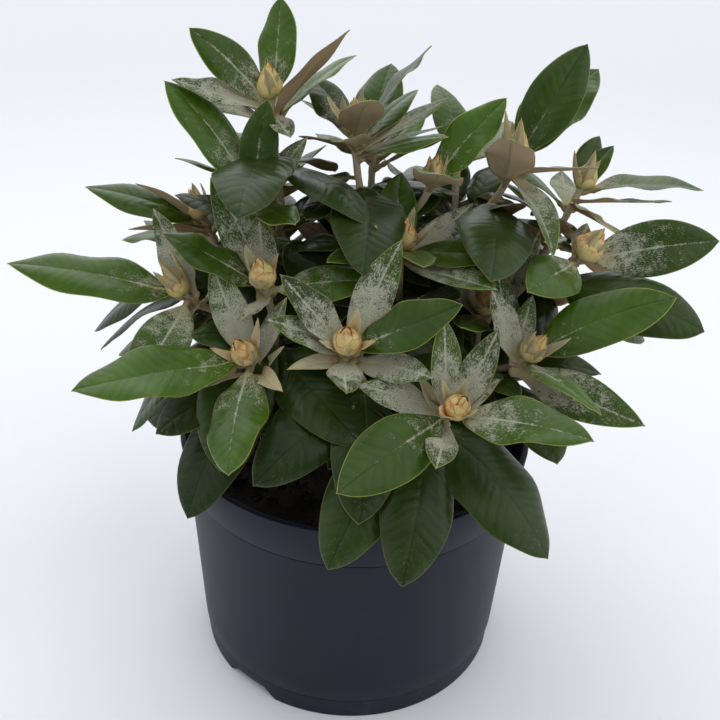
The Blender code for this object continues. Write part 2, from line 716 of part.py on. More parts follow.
def main():
    clear_scene()
    bark = material("bark", (0.16, 0.12, 0.085), 0.85)
    leafage = material("leafage", (0.045, 0.12, 0.03), 0.45)
    solids = [pot(), soil(), trunk(bark)]
    tool = trunk_cutter()
    limbs = [(None, BVHTree.FromPolygons(*trimmed(solid))) for solid in solids]
    forks = {}
    for name, (height, tip, shoots) in MASSES.items():
        limb, end, way = bough(name, height, tip, shoots, bark, tool)
        limbs.append((None, BVHTree.FromPolygons(*trimmed(limb))))
        stem, twigs = forks[name] = stem_and_twigs(end, way, shoots)
        own = [stem] + [twig for _, twig in twigs] + [bud(shoot.tip, shoot.lean) for shoot in shoots]
        limbs += [(name, BVHTree.FromPolygons(*mesh)) for mesh in own]

    crown = Crown(limbs)
    for name, (_, _, shoots) in MASSES.items():
        for shoot, (path, _) in zip(shoots, forks[name][1]):
            set_leaves(crown, name, shoot, path)
    chance = random.Random(SEED)
    for name, (_, _, shoots) in MASSES.items():
        for shoot, (path, _) in zip(shoots, forks[name][1]):
            grown_leaves(crown, name, shoot, path, chance)

    for name, (_, _, shoots) in MASSES.items():
        stem, twigs = forks[name]
        pieces = [twig for _, twig in twigs] + [bud(shoot.tip, shoot.lean) for shoot in shoots]
        pieces += [leaf.mesh() for owner, leaf, *_ in crown.leaves if owner == name]
        joined("foliage_" + name, stem, pieces, leafage)
    return crown


main()
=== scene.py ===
# Potted rhododendron: the looks of a young evergreen shrub in a round nursery pot.
# Metres, +Z up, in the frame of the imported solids, with the origin on the pot's axis, on the floor.
# Bearings are degrees anticlockwise from +X seen from above, and rises are degrees above the level.
import math
import random

import bmesh
import bpy
import numpy as np
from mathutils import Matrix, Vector
from mathutils.bvhtree import BVHTree


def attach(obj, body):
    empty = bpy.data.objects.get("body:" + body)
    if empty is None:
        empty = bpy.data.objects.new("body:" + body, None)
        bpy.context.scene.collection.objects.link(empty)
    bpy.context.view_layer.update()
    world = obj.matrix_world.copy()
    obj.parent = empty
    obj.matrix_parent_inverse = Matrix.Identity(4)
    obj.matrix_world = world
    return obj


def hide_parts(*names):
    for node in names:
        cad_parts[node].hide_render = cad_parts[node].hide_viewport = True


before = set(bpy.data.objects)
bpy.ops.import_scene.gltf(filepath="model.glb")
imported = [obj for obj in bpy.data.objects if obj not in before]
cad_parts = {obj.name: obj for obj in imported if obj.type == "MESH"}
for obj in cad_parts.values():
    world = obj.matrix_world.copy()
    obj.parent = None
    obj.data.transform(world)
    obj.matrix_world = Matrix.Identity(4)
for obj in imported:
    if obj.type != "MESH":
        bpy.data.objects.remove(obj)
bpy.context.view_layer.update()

mm = 0.001
gap = 0.3 * mm           # between solids that touch
fullTurn = 2 * math.pi


# Shader maths

def forward(operation):
    # A method that adds one Math node, the wire first and the other values after it
    return lambda self, *others: self.maths(operation, *others)


def reflected(operation):
    # The same with a plain number before the wire, as in 1 - wire
    return lambda self, first: Wire.node(self.socket.id_data, "ShaderNodeMath", {"operation": operation},
                                         {0: first, 1: self})


class Wire:
    # One output socket of a material's node tree. Sums, differences, products, quotients and powers of wires
    # and plain numbers add Math nodes. Colours go through mixed() and tinted().
    def __init__(self, socket):
        self.socket = socket

    @staticmethod
    def node(tree, kind, settings=None, values=None, output=0):
        # Any node: its settings are set first, then its sockets get numbers, colours or wires
        made = tree.nodes.new(kind)
        for name, value in (settings or {}).items():
            setattr(made, name, value)
        for name, value in (values or {}).items():
            socket = made.inputs[name]
            if isinstance(value, Wire):
                tree.links.new(value.socket, socket)
            elif socket.type == "RGBA":
                socket.default_value = (*value, 1)
            else:
                socket.default_value = value
        return Wire(made.outputs[output])

    def maths(self, operation, *others):
        sockets = {i: value for i, value in enumerate((self, *others))}
        return Wire.node(self.socket.id_data, "ShaderNodeMath", {"operation": operation}, sockets)

    __add__, __radd__ = forward("ADD"), reflected("ADD")
    __sub__, __rsub__ = forward("SUBTRACT"), reflected("SUBTRACT")
    __mul__, __rmul__ = forward("MULTIPLY"), reflected("MULTIPLY")
    __truediv__, __pow__ = forward("DIVIDE"), forward("POWER")
    __gt__, __abs__ = forward("GREATER_THAN"), forward("ABSOLUTE")
    least, most = forward("MINIMUM"), forward("MAXIMUM")

    def step(self, low, high):
        # Smooth step from 0 at low to 1 at high, or from 1 to 0 where low is the larger
        rising = {"Value": self, "From Min": min(low, high), "From Max": max(low, high),
                  "To Min": float(low > high), "To Max": float(low < high)}
        return Wire.node(self.socket.id_data, "ShaderNodeMapRange",
                         {"interpolation_type": "SMOOTHSTEP"}, rising)

    def also(self, output):
        return Wire(self.socket.node.outputs[output])


def mixed(factor, first, second):
    # Colour between two colours, each a wire or three numbers
    return Wire.node(factor.socket.id_data, "ShaderNodeMix", {"data_type": "RGBA"},
                     {0: factor, 6: first, 7: second}, 2)


def tinted(colour, strength):
    # Colour times a number that varies
    return Wire.node(strength.socket.id_data, "ShaderNodeVectorMath", {"operation": "SCALE"},
                     {0: colour, "Scale": strength})


def noise(where, scale, detail=2.0, roughness=0.5):
    # Smooth noise around 0.5, with scale features to the unit of where
    return Wire.node(where.socket.id_data, "ShaderNodeTexNoise", None,
                     {"Vector": where, "Scale": scale, "Detail": detail, "Roughness": roughness}, "Fac")


def combined(x, y, z):
    return Wire.node(x.socket.id_data, "ShaderNodeCombineXYZ", None, {"X": x, "Y": y, "Z": z})


def separated(vector):
    # The vector's X. Its Y and Z are .also("Y") and .also("Z").
    return Wire.node(vector.socket.id_data, "ShaderNodeSeparateXYZ", None, {0: vector})


def drawnOut(where, upScale):
    # Places whose Z is scaled, so that a pattern on them runs round (over 1) or upwards (under 1)
    return Wire.node(where.socket.id_data, "ShaderNodeMapping", None,
                     {"Vector": where, "Scale": (1, 1, upScale)})


class Look:
    # A material with its shader, and wires for where a point is
    def __init__(self, name, **constants):
        self.material = bpy.data.materials.new(name)
        self.material.use_nodes = True
        self.tree = self.material.node_tree
        self.shader = self.tree.nodes["Principled BSDF"]
        for socket, value in constants.items():
            self.shader.inputs[socket.replace("_", " ")].default_value = value
        self.place = Wire.node(self.tree, "ShaderNodeTexCoord", None, None, "Object")

    def uv(self):
        return separated(Wire.node(self.tree, "ShaderNodeUVMap", {"uv_map": "uv"}))

    def attributes(self, *names):
        return [Wire.node(self.tree, "ShaderNodeAttribute", {"attribute_name": name}, None, "Fac")
                for name in names]

    def feed(self, socket, value):
        self.tree.links.new(value.socket, self.shader.inputs[socket])

    def bump(self, height, distance, strength):
        made = Wire.node(self.tree, "ShaderNodeBump", None,
                         {"Height": height, "Distance": distance, "Strength": strength})
        self.feed("Normal", made)


# Surfaces: grids of points worked out as whole arrays

def makePiece(name, points, faces, look, uv=None, attributes=None, sharpAngle=None):
    # points is (..., 3). faces is a list of index arrays, one row for a face. uv has one row for each corner,
    # in the order of the faces. attributes is {name: one value for each point}.
    points = np.asarray(points, np.float32).reshape(-1, 3)
    mesh = bpy.data.meshes.new(name)
    corners = np.concatenate([part.ravel() for part in faces])
    sizes = np.concatenate([np.full(len(part), part.shape[1]) for part in faces])
    mesh.vertices.add(len(points))
    mesh.vertices.foreach_set("co", points.ravel())
    mesh.loops.add(len(corners))
    mesh.loops.foreach_set("vertex_index", corners.astype(np.int32))
    mesh.polygons.add(len(sizes))
    mesh.polygons.foreach_set("loop_start", np.concatenate([[0], np.cumsum(sizes)[:-1]]).astype(np.int32))
    mesh.update(calc_edges=True)
    if uv is not None:
        mesh.uv_layers.new(name="uv").data.foreach_set("uv", np.asarray(uv, np.float32).ravel())
    for key, values in (attributes or {}).items():
        layer = mesh.attributes.new(key, "FLOAT", "POINT")
        layer.data.foreach_set("value", np.asarray(values, np.float32).ravel())
    mesh.materials.append(look.material)
    mesh.shade_smooth()
    if sharpAngle:
        mesh.set_sharp_from_angle(angle=math.radians(sharpAngle))
    made = bpy.data.objects.new(name, mesh)
    bpy.context.scene.collection.objects.link(made)
    return made


def ringFaces(count, rings, sides):
    # Quads between the rings of several closed tubes, then the caps at their feet and at their ends
    index = np.arange(count * rings * sides).reshape(count, rings, sides)
    after = np.roll(index, -1, axis=2)
    walls = np.stack([index[:, :-1], after[:, :-1], after[:, 1:], index[:, 1:]], -1).reshape(-1, 4)
    return [walls, index[:, 0, ::-1], index[:, -1]]


def ringUv(count, here, there, down):
    # A row for each corner of those faces. On a ring, side after side goes from here to there in u. The rings
    # are at down in v, and the caps at the middle in u.
    uv = np.empty((count, len(down) - 1, len(here), 4, 2))
    uv[..., 0, 0] = uv[..., 3, 0] = here
    uv[..., 1, 0] = uv[..., 2, 0] = there
    uv[..., 0, 1] = uv[..., 1, 1] = down[:-1, None]
    uv[..., 2, 1] = uv[..., 3, 1] = down[1:, None]
    caps = [np.tile([0.5, end], (count * len(here), 1)) for end in (down[0], down[-1])]
    return np.concatenate([uv.reshape(-1, 2), *caps])


def joinTubes(name, blocks, look, sharpAngle=None):
    # One piece of several blocks of closed tubes. A block is its points (tubes, rings, sides, 3), its
    # attributes, which may be one for all its points, and, where the look needs it, its uv.
    points, faces, uv, attributes, first = [], [], [], {}, 0
    for block, values, *corners in blocks:
        shape = block.shape[:3]
        points.append(block.reshape(-1, 3))
        faces += [part + first for part in ringFaces(*shape)]
        uv += corners
        for key, value in values.items():
            attributes.setdefault(key, []).append(np.broadcast_to(value, shape).ravel())
        first += block.size // 3
    return makePiece(name, np.concatenate(points), faces, look, np.concatenate(uv) if uv else None,
                     {key: np.concatenate(values) for key, values in attributes.items()}, sharpAngle)


def latheFaces(rows, columns):
    # Quads between the rows of a profile turned round Z, from its foot up the outside and down the inside
    index = np.arange(rows * columns).reshape(rows, columns)
    after = np.roll(index, -1, axis=1)
    return np.stack([index[:-1], after[:-1], after[1:], index[1:]], -1).reshape(-1, 4)[:, ::-1]


def circle(sides):
    return np.arange(sides) * fullTurn / sides


def unit(vectors):
    return vectors / np.linalg.norm(vectors, axis=-1, keepdims=True)


def acrossPath(centres):
    # Two directions across a path (rings, 3) at each ring. The first is the part of one fixed direction that
    # lies across the path, so rings follow on without a twist.
    way = unit(np.gradient(centres, axis=-2))
    fixed = np.where(np.abs(way.mean(-2, keepdims=True)[..., :1]) < 0.8, [1.0, 0, 0], [0, 1.0, 0])
    side = unit(fixed - way * (fixed * way).sum(-1, keepdims=True))
    return side, np.cross(way, side)


def sweep(centres, side, up, across, height):
    # Carries a closed outline along a path: point = centre + across times side + height times up
    return (centres[..., None, :] + across[..., None] * side[..., None, :]
            + height[..., None] * up[..., None, :])


def ripples(chance, turn, along, waves, mostRound, steepest):
    # Sum of waves round and along a tube. Each goes a whole number of times round, so the seam closes, and
    # slopes by a fifth of the steepest or more.
    total = np.zeros(np.broadcast(turn, along).shape)
    for _ in range(waves):
        around = chance.integers(1, mostRound + 1)
        slope, phase = chance.uniform(0.2, 1) * steepest, chance.uniform(0, fullTurn)
        total += np.sin(around * turn + slope * along + phase)
    return total / math.sqrt(waves)


def rideAndReplace(piece, slot, *nodes):
    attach(piece, "root")
    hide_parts(*nodes)


# The pot: a thin moulded wall with a shallow collar that flares to the rim, and a foot with three low arches

potValues = {
    "height": 135 * mm, "rimRadius": 95 * mm, "wallTopRadius": 93.2 * mm, "baseRadius": 85.8 * mm,
    "wall": 1.4 * mm, "collarDepth": 22.5 * mm, "collarStep": 0.8 * mm,
    "footHeight": 13 * mm, "footStep": 0.6 * mm, "groove": 0.4 * mm,
    "floorHeight": 7 * mm, "floorBevel": 2 * mm,
    "padRadius": 22 * mm, "padSlope": 5 * mm,        # the middle of the floor comes down to the ground
    "archCount": 3, "archBearing": 232, "archFootWidth": 34 * mm, "archTopWidth": 20 * mm,
    "archHeight": 5.5 * mm,
    "drainCount": 6, "drainRadius": 5 * mm, "drainCircle": 60 * mm, "drainSides": 28,
    "steps": 216, "outsideRows": 9, "insideRows": 6, "edgeRound": 0.35 * mm, "sharpAngle": 40,
    # Finish
    "dark": (0.0040, 0.0054, 0.0150), "light": (0.0072, 0.0092, 0.0235), "dust": (0.16, 0.155, 0.15),
    "gloss": 0.28, "roughness": 0.42, "smudgeRoughness": 0.16, "scuffRoughness": 0.2,
    "marks": 0.12, "dustHeight": 30 * mm, "scuffStretch": 9, "grainHeight": 0.05 * mm,
    # features to the metre
    "grain": 2600, "smudges": 22, "scuffs": 60, "scuffBreaks": 480, "specks": 90,
}


def wallRadius(height):
    p = potValues
    return p["baseRadius"] + (p["wallTopRadius"] - p["baseRadius"]) * height / p["height"]


def potLook():
    # Satin moulded plastic: a fine grain, soft smudges of dust, and pale scuffs that run round the wall
    f = potValues
    look = Look("potPlastic", Specular_IOR_Level=f["gloss"])
    smudge = noise(look.place, f["smudges"], 4, 0.6)
    scuff = noise(drawnOut(look.place, f["scuffStretch"]), f["scuffs"], 6, 0.7).step(0.66, 0.74)
    scuff = scuff * noise(look.place, f["scuffBreaks"]).step(0.45, 0.7)
    low = separated(look.place).also("Z").step(f["dustHeight"], 0.0)
    dust = low * noise(look.place, f["specks"], 5, 0.65).step(0.5, 0.75)
    colour = mixed(smudge.step(0.3, 0.75), f["dark"], f["light"])
    look.feed("Base Color", mixed((scuff * f["marks"]).most(dust * f["marks"]), colour, f["dust"]))
    look.feed("Roughness", f["roughness"] + smudge * f["smudgeRoughness"] + scuff * f["scuffRoughness"])
    look.bump(noise(look.place, f["grain"]), f["grainHeight"], 0.5)
    return look


def creased(height, ledge):
    # A fine groove under a ledge that stands out from the wall and eases out over its lowest millimetre
    p = potValues
    small, groove, radius = p["edgeRound"], p["groove"], wallRadius(height)
    return [(radius, height - 2 * small, 0), (radius - groove, height - small, 0),
            (radius - groove, height, 0), (radius + ledge * 0.7, height + small, 0),
            (radius + ledge, height + 2.5 * small, 0)]


def potPiece():
    # Point = the profile's radius and height at one share of its length, turned round Z. The lower edge of
    # the foot is lifted to the arch's height between its slanted sides.
    p = potValues
    small = p["edgeRound"]
    spacing = fullTurn / p["archCount"]
    wide = [p["archFootWidth"] / 2 / p["baseRadius"], p["archTopWidth"] / 2 / p["baseRadius"]]
    bearings = math.radians(p["archBearing"]) + spacing * np.arange(p["archCount"])
    corners = np.concatenate([bearings + sign * half for sign in (-1, 1) for half in wide])
    turn = np.unique(np.round(np.concatenate([circle(p["steps"]), corners % fullTurn]), 6))
    away = np.abs((turn[:, None] - bearings + math.pi) % fullTurn - math.pi).min(1)
    lift = p["archHeight"] * np.clip((wide[0] - away) / (wide[0] - wide[1]), 0, 1)

    foot, collar, ledge = p["footHeight"], p["height"] - p["collarDepth"], p["footStep"]
    wall, top, floor, base = p["wall"], p["height"], p["floorHeight"], p["baseRadius"]
    outside = [(wallRadius(z) + ledge * (collar - z) / (collar - foot), z, 0)
               for z in np.linspace(foot, collar, p["outsideRows"])[1:-1]]
    inside, floorEdge = wallRadius(top) - wall, wallRadius(floor) - wall - ledge
    pad, slope = p["padRadius"], p["padSlope"]
    # radius, height and the share of the arch's lift that the point takes
    profile = [
        (0, 0, 0), (pad, 0, 0), (pad + slope, floor, 0),
        (floorEdge - p["floorBevel"], floor, 0), (floorEdge, floor - small, 0),
        (base - wall - ledge, small, 1), (base - wall - ledge + small, 0, 1),
        (base - small, 0, 1), (base, small, 1), (wallRadius(foot / 2), foot / 2, 0.5),
        *creased(foot, ledge), *outside, *creased(collar, p["collarStep"]),
        (p["rimRadius"], top - 3 * small, 0), (p["rimRadius"] - small * 0.8, top - small * 0.8, 0),
        (p["rimRadius"] - 3 * small, top, 0),
        (inside + 2 * small, top, 0), (inside + small / 2, top - small / 2, 0), (inside, top - 2 * small, 0),
        *[(wallRadius(z) - wall, z, 0) for z in np.linspace(top, floor + wall, p["insideRows"])[1:]],
        (pad + slope - wall, floor + wall, 0), (pad - wall, wall, 0), (0, wall, 0),
    ]
    radius, height, lifted = np.array(profile).T[:, :, None]
    points = np.stack([radius * np.cos(turn), radius * np.sin(turn), height + lifted * lift], -1)
    made = makePiece("potWall", points, [latheFaces(*points.shape[:2])], potLook())
    tidyMesh(made)
    for i in range(p["drainCount"]):
        bearing = math.radians(p["archBearing"]) + fullTurn * i / p["drainCount"]
        drillHole(made, Vector((math.cos(bearing), math.sin(bearing), 0)) * p["drainCircle"]
                  + Vector((0, 0, floor + wall / 2)), p["drainRadius"], 3 * wall)
    made.data.shade_smooth()
    made.data.set_sharp_from_angle(angle=math.radians(p["sharpAngle"]))
    rideAndReplace(made, "pot", "pot")


def tidyMesh(made, closer=0.005 * mm):
    # Closes poles and seams, and turns all faces outwards
    shape = bmesh.new()
    shape.from_mesh(made.data)
    bmesh.ops.remove_doubles(shape, verts=shape.verts, dist=closer)
    bmesh.ops.recalc_face_normals(shape, faces=shape.faces)
    shape.to_mesh(made.data)
    shape.free()


def drillHole(made, middle, radius, depth):
    # Cuts an upright round hole, and removes the cutter
    sides = potValues["drainSides"]
    turn = circle(sides)
    ring = np.stack([np.cos(turn) * radius, np.sin(turn) * radius, np.zeros(sides)], -1) + np.array(middle)
    points = np.stack([ring - [0, 0, depth / 2], ring + [0, 0, depth / 2]])[None]
    tool = bpy.data.objects.new("drill", bpy.data.meshes.new("drill"))
    walls, foot, end = ringFaces(1, 2, sides)
    tool.data.from_pydata(points.reshape(-1, 3).tolist(), [], walls.tolist() + foot.tolist() + end.tolist())
    bpy.context.scene.collection.objects.link(tool)
    cut = made.modifiers.new("cut", "BOOLEAN")
    cut.operation = "DIFFERENCE"
    cut.object = tool
    bpy.context.view_layer.update()
    whole = bpy.data.meshes.new_from_object(made.evaluated_get(bpy.context.evaluated_depsgraph_get()))
    made.modifiers.clear()
    made.data = whole
    bpy.data.objects.remove(tool)


# Soil: a low uneven bed with crumbs and bits of bark

soilValues = {
    "top": 117 * mm, "swell": 1.6 * mm, "flatRadius": 22 * mm, "steps": 160, "rings": 70,
    "lumps": 0.9 * mm, "lumpWaves": 48, "lumpLength": (4, 20),       # mm
    "crumbs": 1500, "crumbSides": 6, "leastCrumb": 1.1 * mm, "largestCrumb": 5 * mm, "redShare": 0.12,
    "wallGap": 0.05 * mm, "crumbInset": 4 * mm, "crumbRings": (-88, -42, 0, 42, 88), "crumbRise": 0.15,
    "crumbSpread": (1.6, 0.75),                      # shape and scale, in mm, of a gamma draw
    "crumbPush": (0.72, 1.2), "crumbStretch": (0.6, 1.25), "crumbFlat": 0.75, "seed": 3,
    # Finish
    "dark": (0.0034, 0.0027, 0.0030), "light": (0.0120, 0.0085, 0.0065),
    "red": (0.080, 0.022, 0.014), "brown": (0.040, 0.018, 0.011),
    "roughness": 0.95, "reliefHeight": 0.5 * mm, "patches": 180, "fibres": 1400,
}


def soilHeight(x, y):
    # Low swells that die out round the trunk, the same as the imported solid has
    away = np.clip((np.hypot(x, y) - soilValues["flatRadius"]) / soilValues["flatRadius"], 0, 1)
    waves = np.sin(95 * x + 1) * np.cos(80 * y) + 0.5 * np.sin(170 * y - 110 * x)
    return soilValues["top"] + soilValues["swell"] * away * waves / 1.5


def lumps(chance, x, y):
    # Sum of level waves in all directions, the long ones the tallest
    total = np.zeros(np.broadcast(x, y).shape)
    shortest, longest = soilValues["lumpLength"]
    for _ in range(soilValues["lumpWaves"]):
        heading, length = chance.uniform(0, fullTurn), chance.uniform(shortest, longest) * mm
        phase = (x * math.cos(heading) + y * math.sin(heading)) * fullTurn / length
        total += np.sin(phase + chance.uniform(0, fullTurn)) * length / (longest * mm)
    return total / math.sqrt(soilValues["lumpWaves"])


def soilLook():
    # Near black, with paler patches, and reddish bits of bark where the tone is 1
    f = soilValues
    look = Look("soil", Roughness=f["roughness"])
    patches, fibre = noise(look.place, f["patches"], 4, 0.65), noise(look.place, f["fibres"], 3, 0.7)
    tone, = look.attributes("tone")
    colour = mixed(patches.step(0.35, 0.7), f["dark"], f["light"])
    look.feed("Base Color", mixed(tone, colour, mixed(fibre.step(0.4, 0.6), f["red"], f["brown"])))
    look.bump(fibre + patches * 2, f["reliefHeight"], 0.9)
    return look


def soilPieces():
    # Bed: rings of points from the wall to the middle, at the swells' height plus the lumps, closed below
    p, size = potValues, soilValues
    chance = np.random.default_rng(size["seed"])
    wall, pad = p["wall"], p["padRadius"]
    top, low = size["top"], p["floorHeight"] + wall + gap
    edge = wallRadius(top) - wall - size["wallGap"]
    turn = circle(size["steps"])
    out = (np.arange(size["rings"] + 1) / size["rings"])[::-1, None]
    x, y = out * edge * np.cos(turn), out * edge * np.sin(turn)
    height = soilHeight(x, y) + size["lumps"] * lumps(chance, x, y) * np.clip(out * 4 - 0.4, 0.15, 1)
    under = [(0, wall + gap), (pad - wall - gap, wall + gap), (pad + p["padSlope"] - wall - gap, low),
             (wallRadius(low) - wall - gap, low)]
    radius, level = np.array(under).T[:, :, None]
    rows = np.stack([np.concatenate([radius * np.cos(turn), x]), np.concatenate([radius * np.sin(turn), y]),
                     np.concatenate([level + 0 * turn, height])], -1)
    look = soilLook()
    bed = makePiece("soilBed", rows, [latheFaces(*rows.shape[:2])], look,
                    attributes={"tone": np.zeros(rows.shape[:2])})
    tidyMesh(bed)
    rideAndReplace(bed, "soil", "soil")

    # Crumbs: each is a ball of five rings, the first and last nearly closed, pushed in and out at random
    count, sides = size["crumbs"], size["crumbSides"]
    across = size["leastCrumb"] + chance.gamma(*size["crumbSpread"], count) * mm
    across = np.minimum(across, size["largestCrumb"])[:, None, None, None]
    reach = np.sqrt(chance.uniform(0.01, 1, count)) * (edge - size["crumbInset"])
    bearing = chance.uniform(0, fullTurn, count)
    cx, cy = reach * np.cos(bearing), reach * np.sin(bearing)
    middle = np.stack([cx, cy, soilHeight(cx, cy) + size["crumbRise"] * across[:, 0, 0, 0]], -1)
    lift = np.radians(np.array(size["crumbRings"]))[:, None]
    around = circle(sides)[None, :] + lift * 0.5
    ball = np.stack([np.cos(lift) * np.cos(around), np.cos(lift) * np.sin(around),
                     np.sin(lift) + 0 * around], -1)
    push = chance.uniform(*size["crumbPush"], (count, len(lift), sides, 1))
    stretch = chance.uniform(*size["crumbStretch"], (count, 1, 1, 3)) * [1, 1, size["crumbFlat"]]
    points = middle[:, None, None, :] + ball * push * stretch * across / 2
    red = (chance.uniform(0, 1, count) < size["redShare"])[:, None, None]
    rideAndReplace(joinTubes("soilCrumbs", [(points, {"tone": red})], look), "soil", "soil")


# The rule that places the leaves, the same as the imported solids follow

felted, green, thin, old = "felted", "green", "thin", "old"
bract = "bract"          # short and cream, close round the bud

trunkSize = {
    "foot": Vector((4, 6, 0)) * mm, "top": Vector((1, 11, 0)) * mm, "bow": Vector((-4, 1, 0)) * mm,
    "height": 60 * mm, "footRadius": 7.2 * mm, "topRadius": 5.0 * mm,
    "flare": 3.2 * mm, "flareHeight": 7 * mm, "flareLobes": 5, "lobeShare": 0.35,
}

limbSize = {
    "boughFootRadius": 3.3 * mm, "boughTipRadius": 2.5 * mm, "boughFootRise": 32,
    "stemLength": 9 * mm, "stemSides": 6, "twigSink": 1.5 * mm,
    "twigRadius": 2.0 * mm, "shootRadius": 1.8 * mm, "twigSides": 5, "twigRings": 4,
    "bend": 0.38,        # share of the span over which a limb keeps its first and its last direction
}

budSize = {"length": 18 * mm, "radius": 5.2 * mm, "sides": 6, "rings": 4, "sink": 1.5 * mm, "outline": 0.8}

leafShapes = {           # width over length, fold of the edges, arch of the midrib
    felted: (0.40, 0.16, 0.02), green: (0.44, 0.06, 0.04), thin: (0.25, 0.20, 0.03), old: (0.48, -0.04, 0.07),
    bract: (0.40, 0.30, -0.08),
}

leafRule = {
    "stations": (0, 0.10, 0.34, 0.70, 1), "smallStations": (0, 0.30, 0.68, 1), "small": 40 * mm,
    "petioleEnd": 0.09, "widest": 0.92, "fullness": 0.9, "petioleHalfWidth": 0.9 * mm, "stalkShare": 0.12,
    "thicknessShare": 0.013, "leastThickness": 0.8 * mm, "clearance": 0.5 * mm,
    "step": 1.7 * mm, "firstDrop": 3 * mm, "rootOffset": 0.7 * mm, "oldDrop": 24 * mm, "oldStep": 5 * mm,
    "bladeStart": 0.34, "nearbyShare": 0.62,
    "spread": {thin: (24, 40), felted: (48, 78), green: (48, 78), old: (88, 112)},
    "length": {thin: (24, 32), felted: (46, 64), green: (46, 64), old: (66, 82)},
    "goldenAngle": 137.5, "innerShare": 0.3, "apart": 20, "oldLeastRise": -32, "shootReach": 45 * mm,
    "fullYoung": 8, "fullOld": 3, "tries": 40, "seed": 8,
    "nudgeSizes": (5, 10, 15, 20), "nudgeWays": 8, "nudgeShorter": 0.008, "pathSteps": 40,
}


def direction(bearing, rise):
    across = math.cos(math.radians(rise))
    return Vector((across * math.cos(math.radians(bearing)), across * math.sin(math.radians(bearing)),
                   math.sin(math.radians(rise))))


class Shoot:
    # Where a shoot ends in mm, how it leans as (bearing, rise), and its listed leaves. A leaf
    # is (bearing, rise, length in mm) and, where it is turned about its midrib, the degrees of roll.
    def __init__(self, tip, lean, felted=(), green=(), thin=(), old=()):
        self.tip = Vector(tip) * mm
        self.lean = direction(*lean)
        kinds = (("green", green), ("felted", felted), ("thin", thin), ("old", old))
        self.leaves = [(kind, *leaf) for kind, leaves in kinds for leaf in leaves]


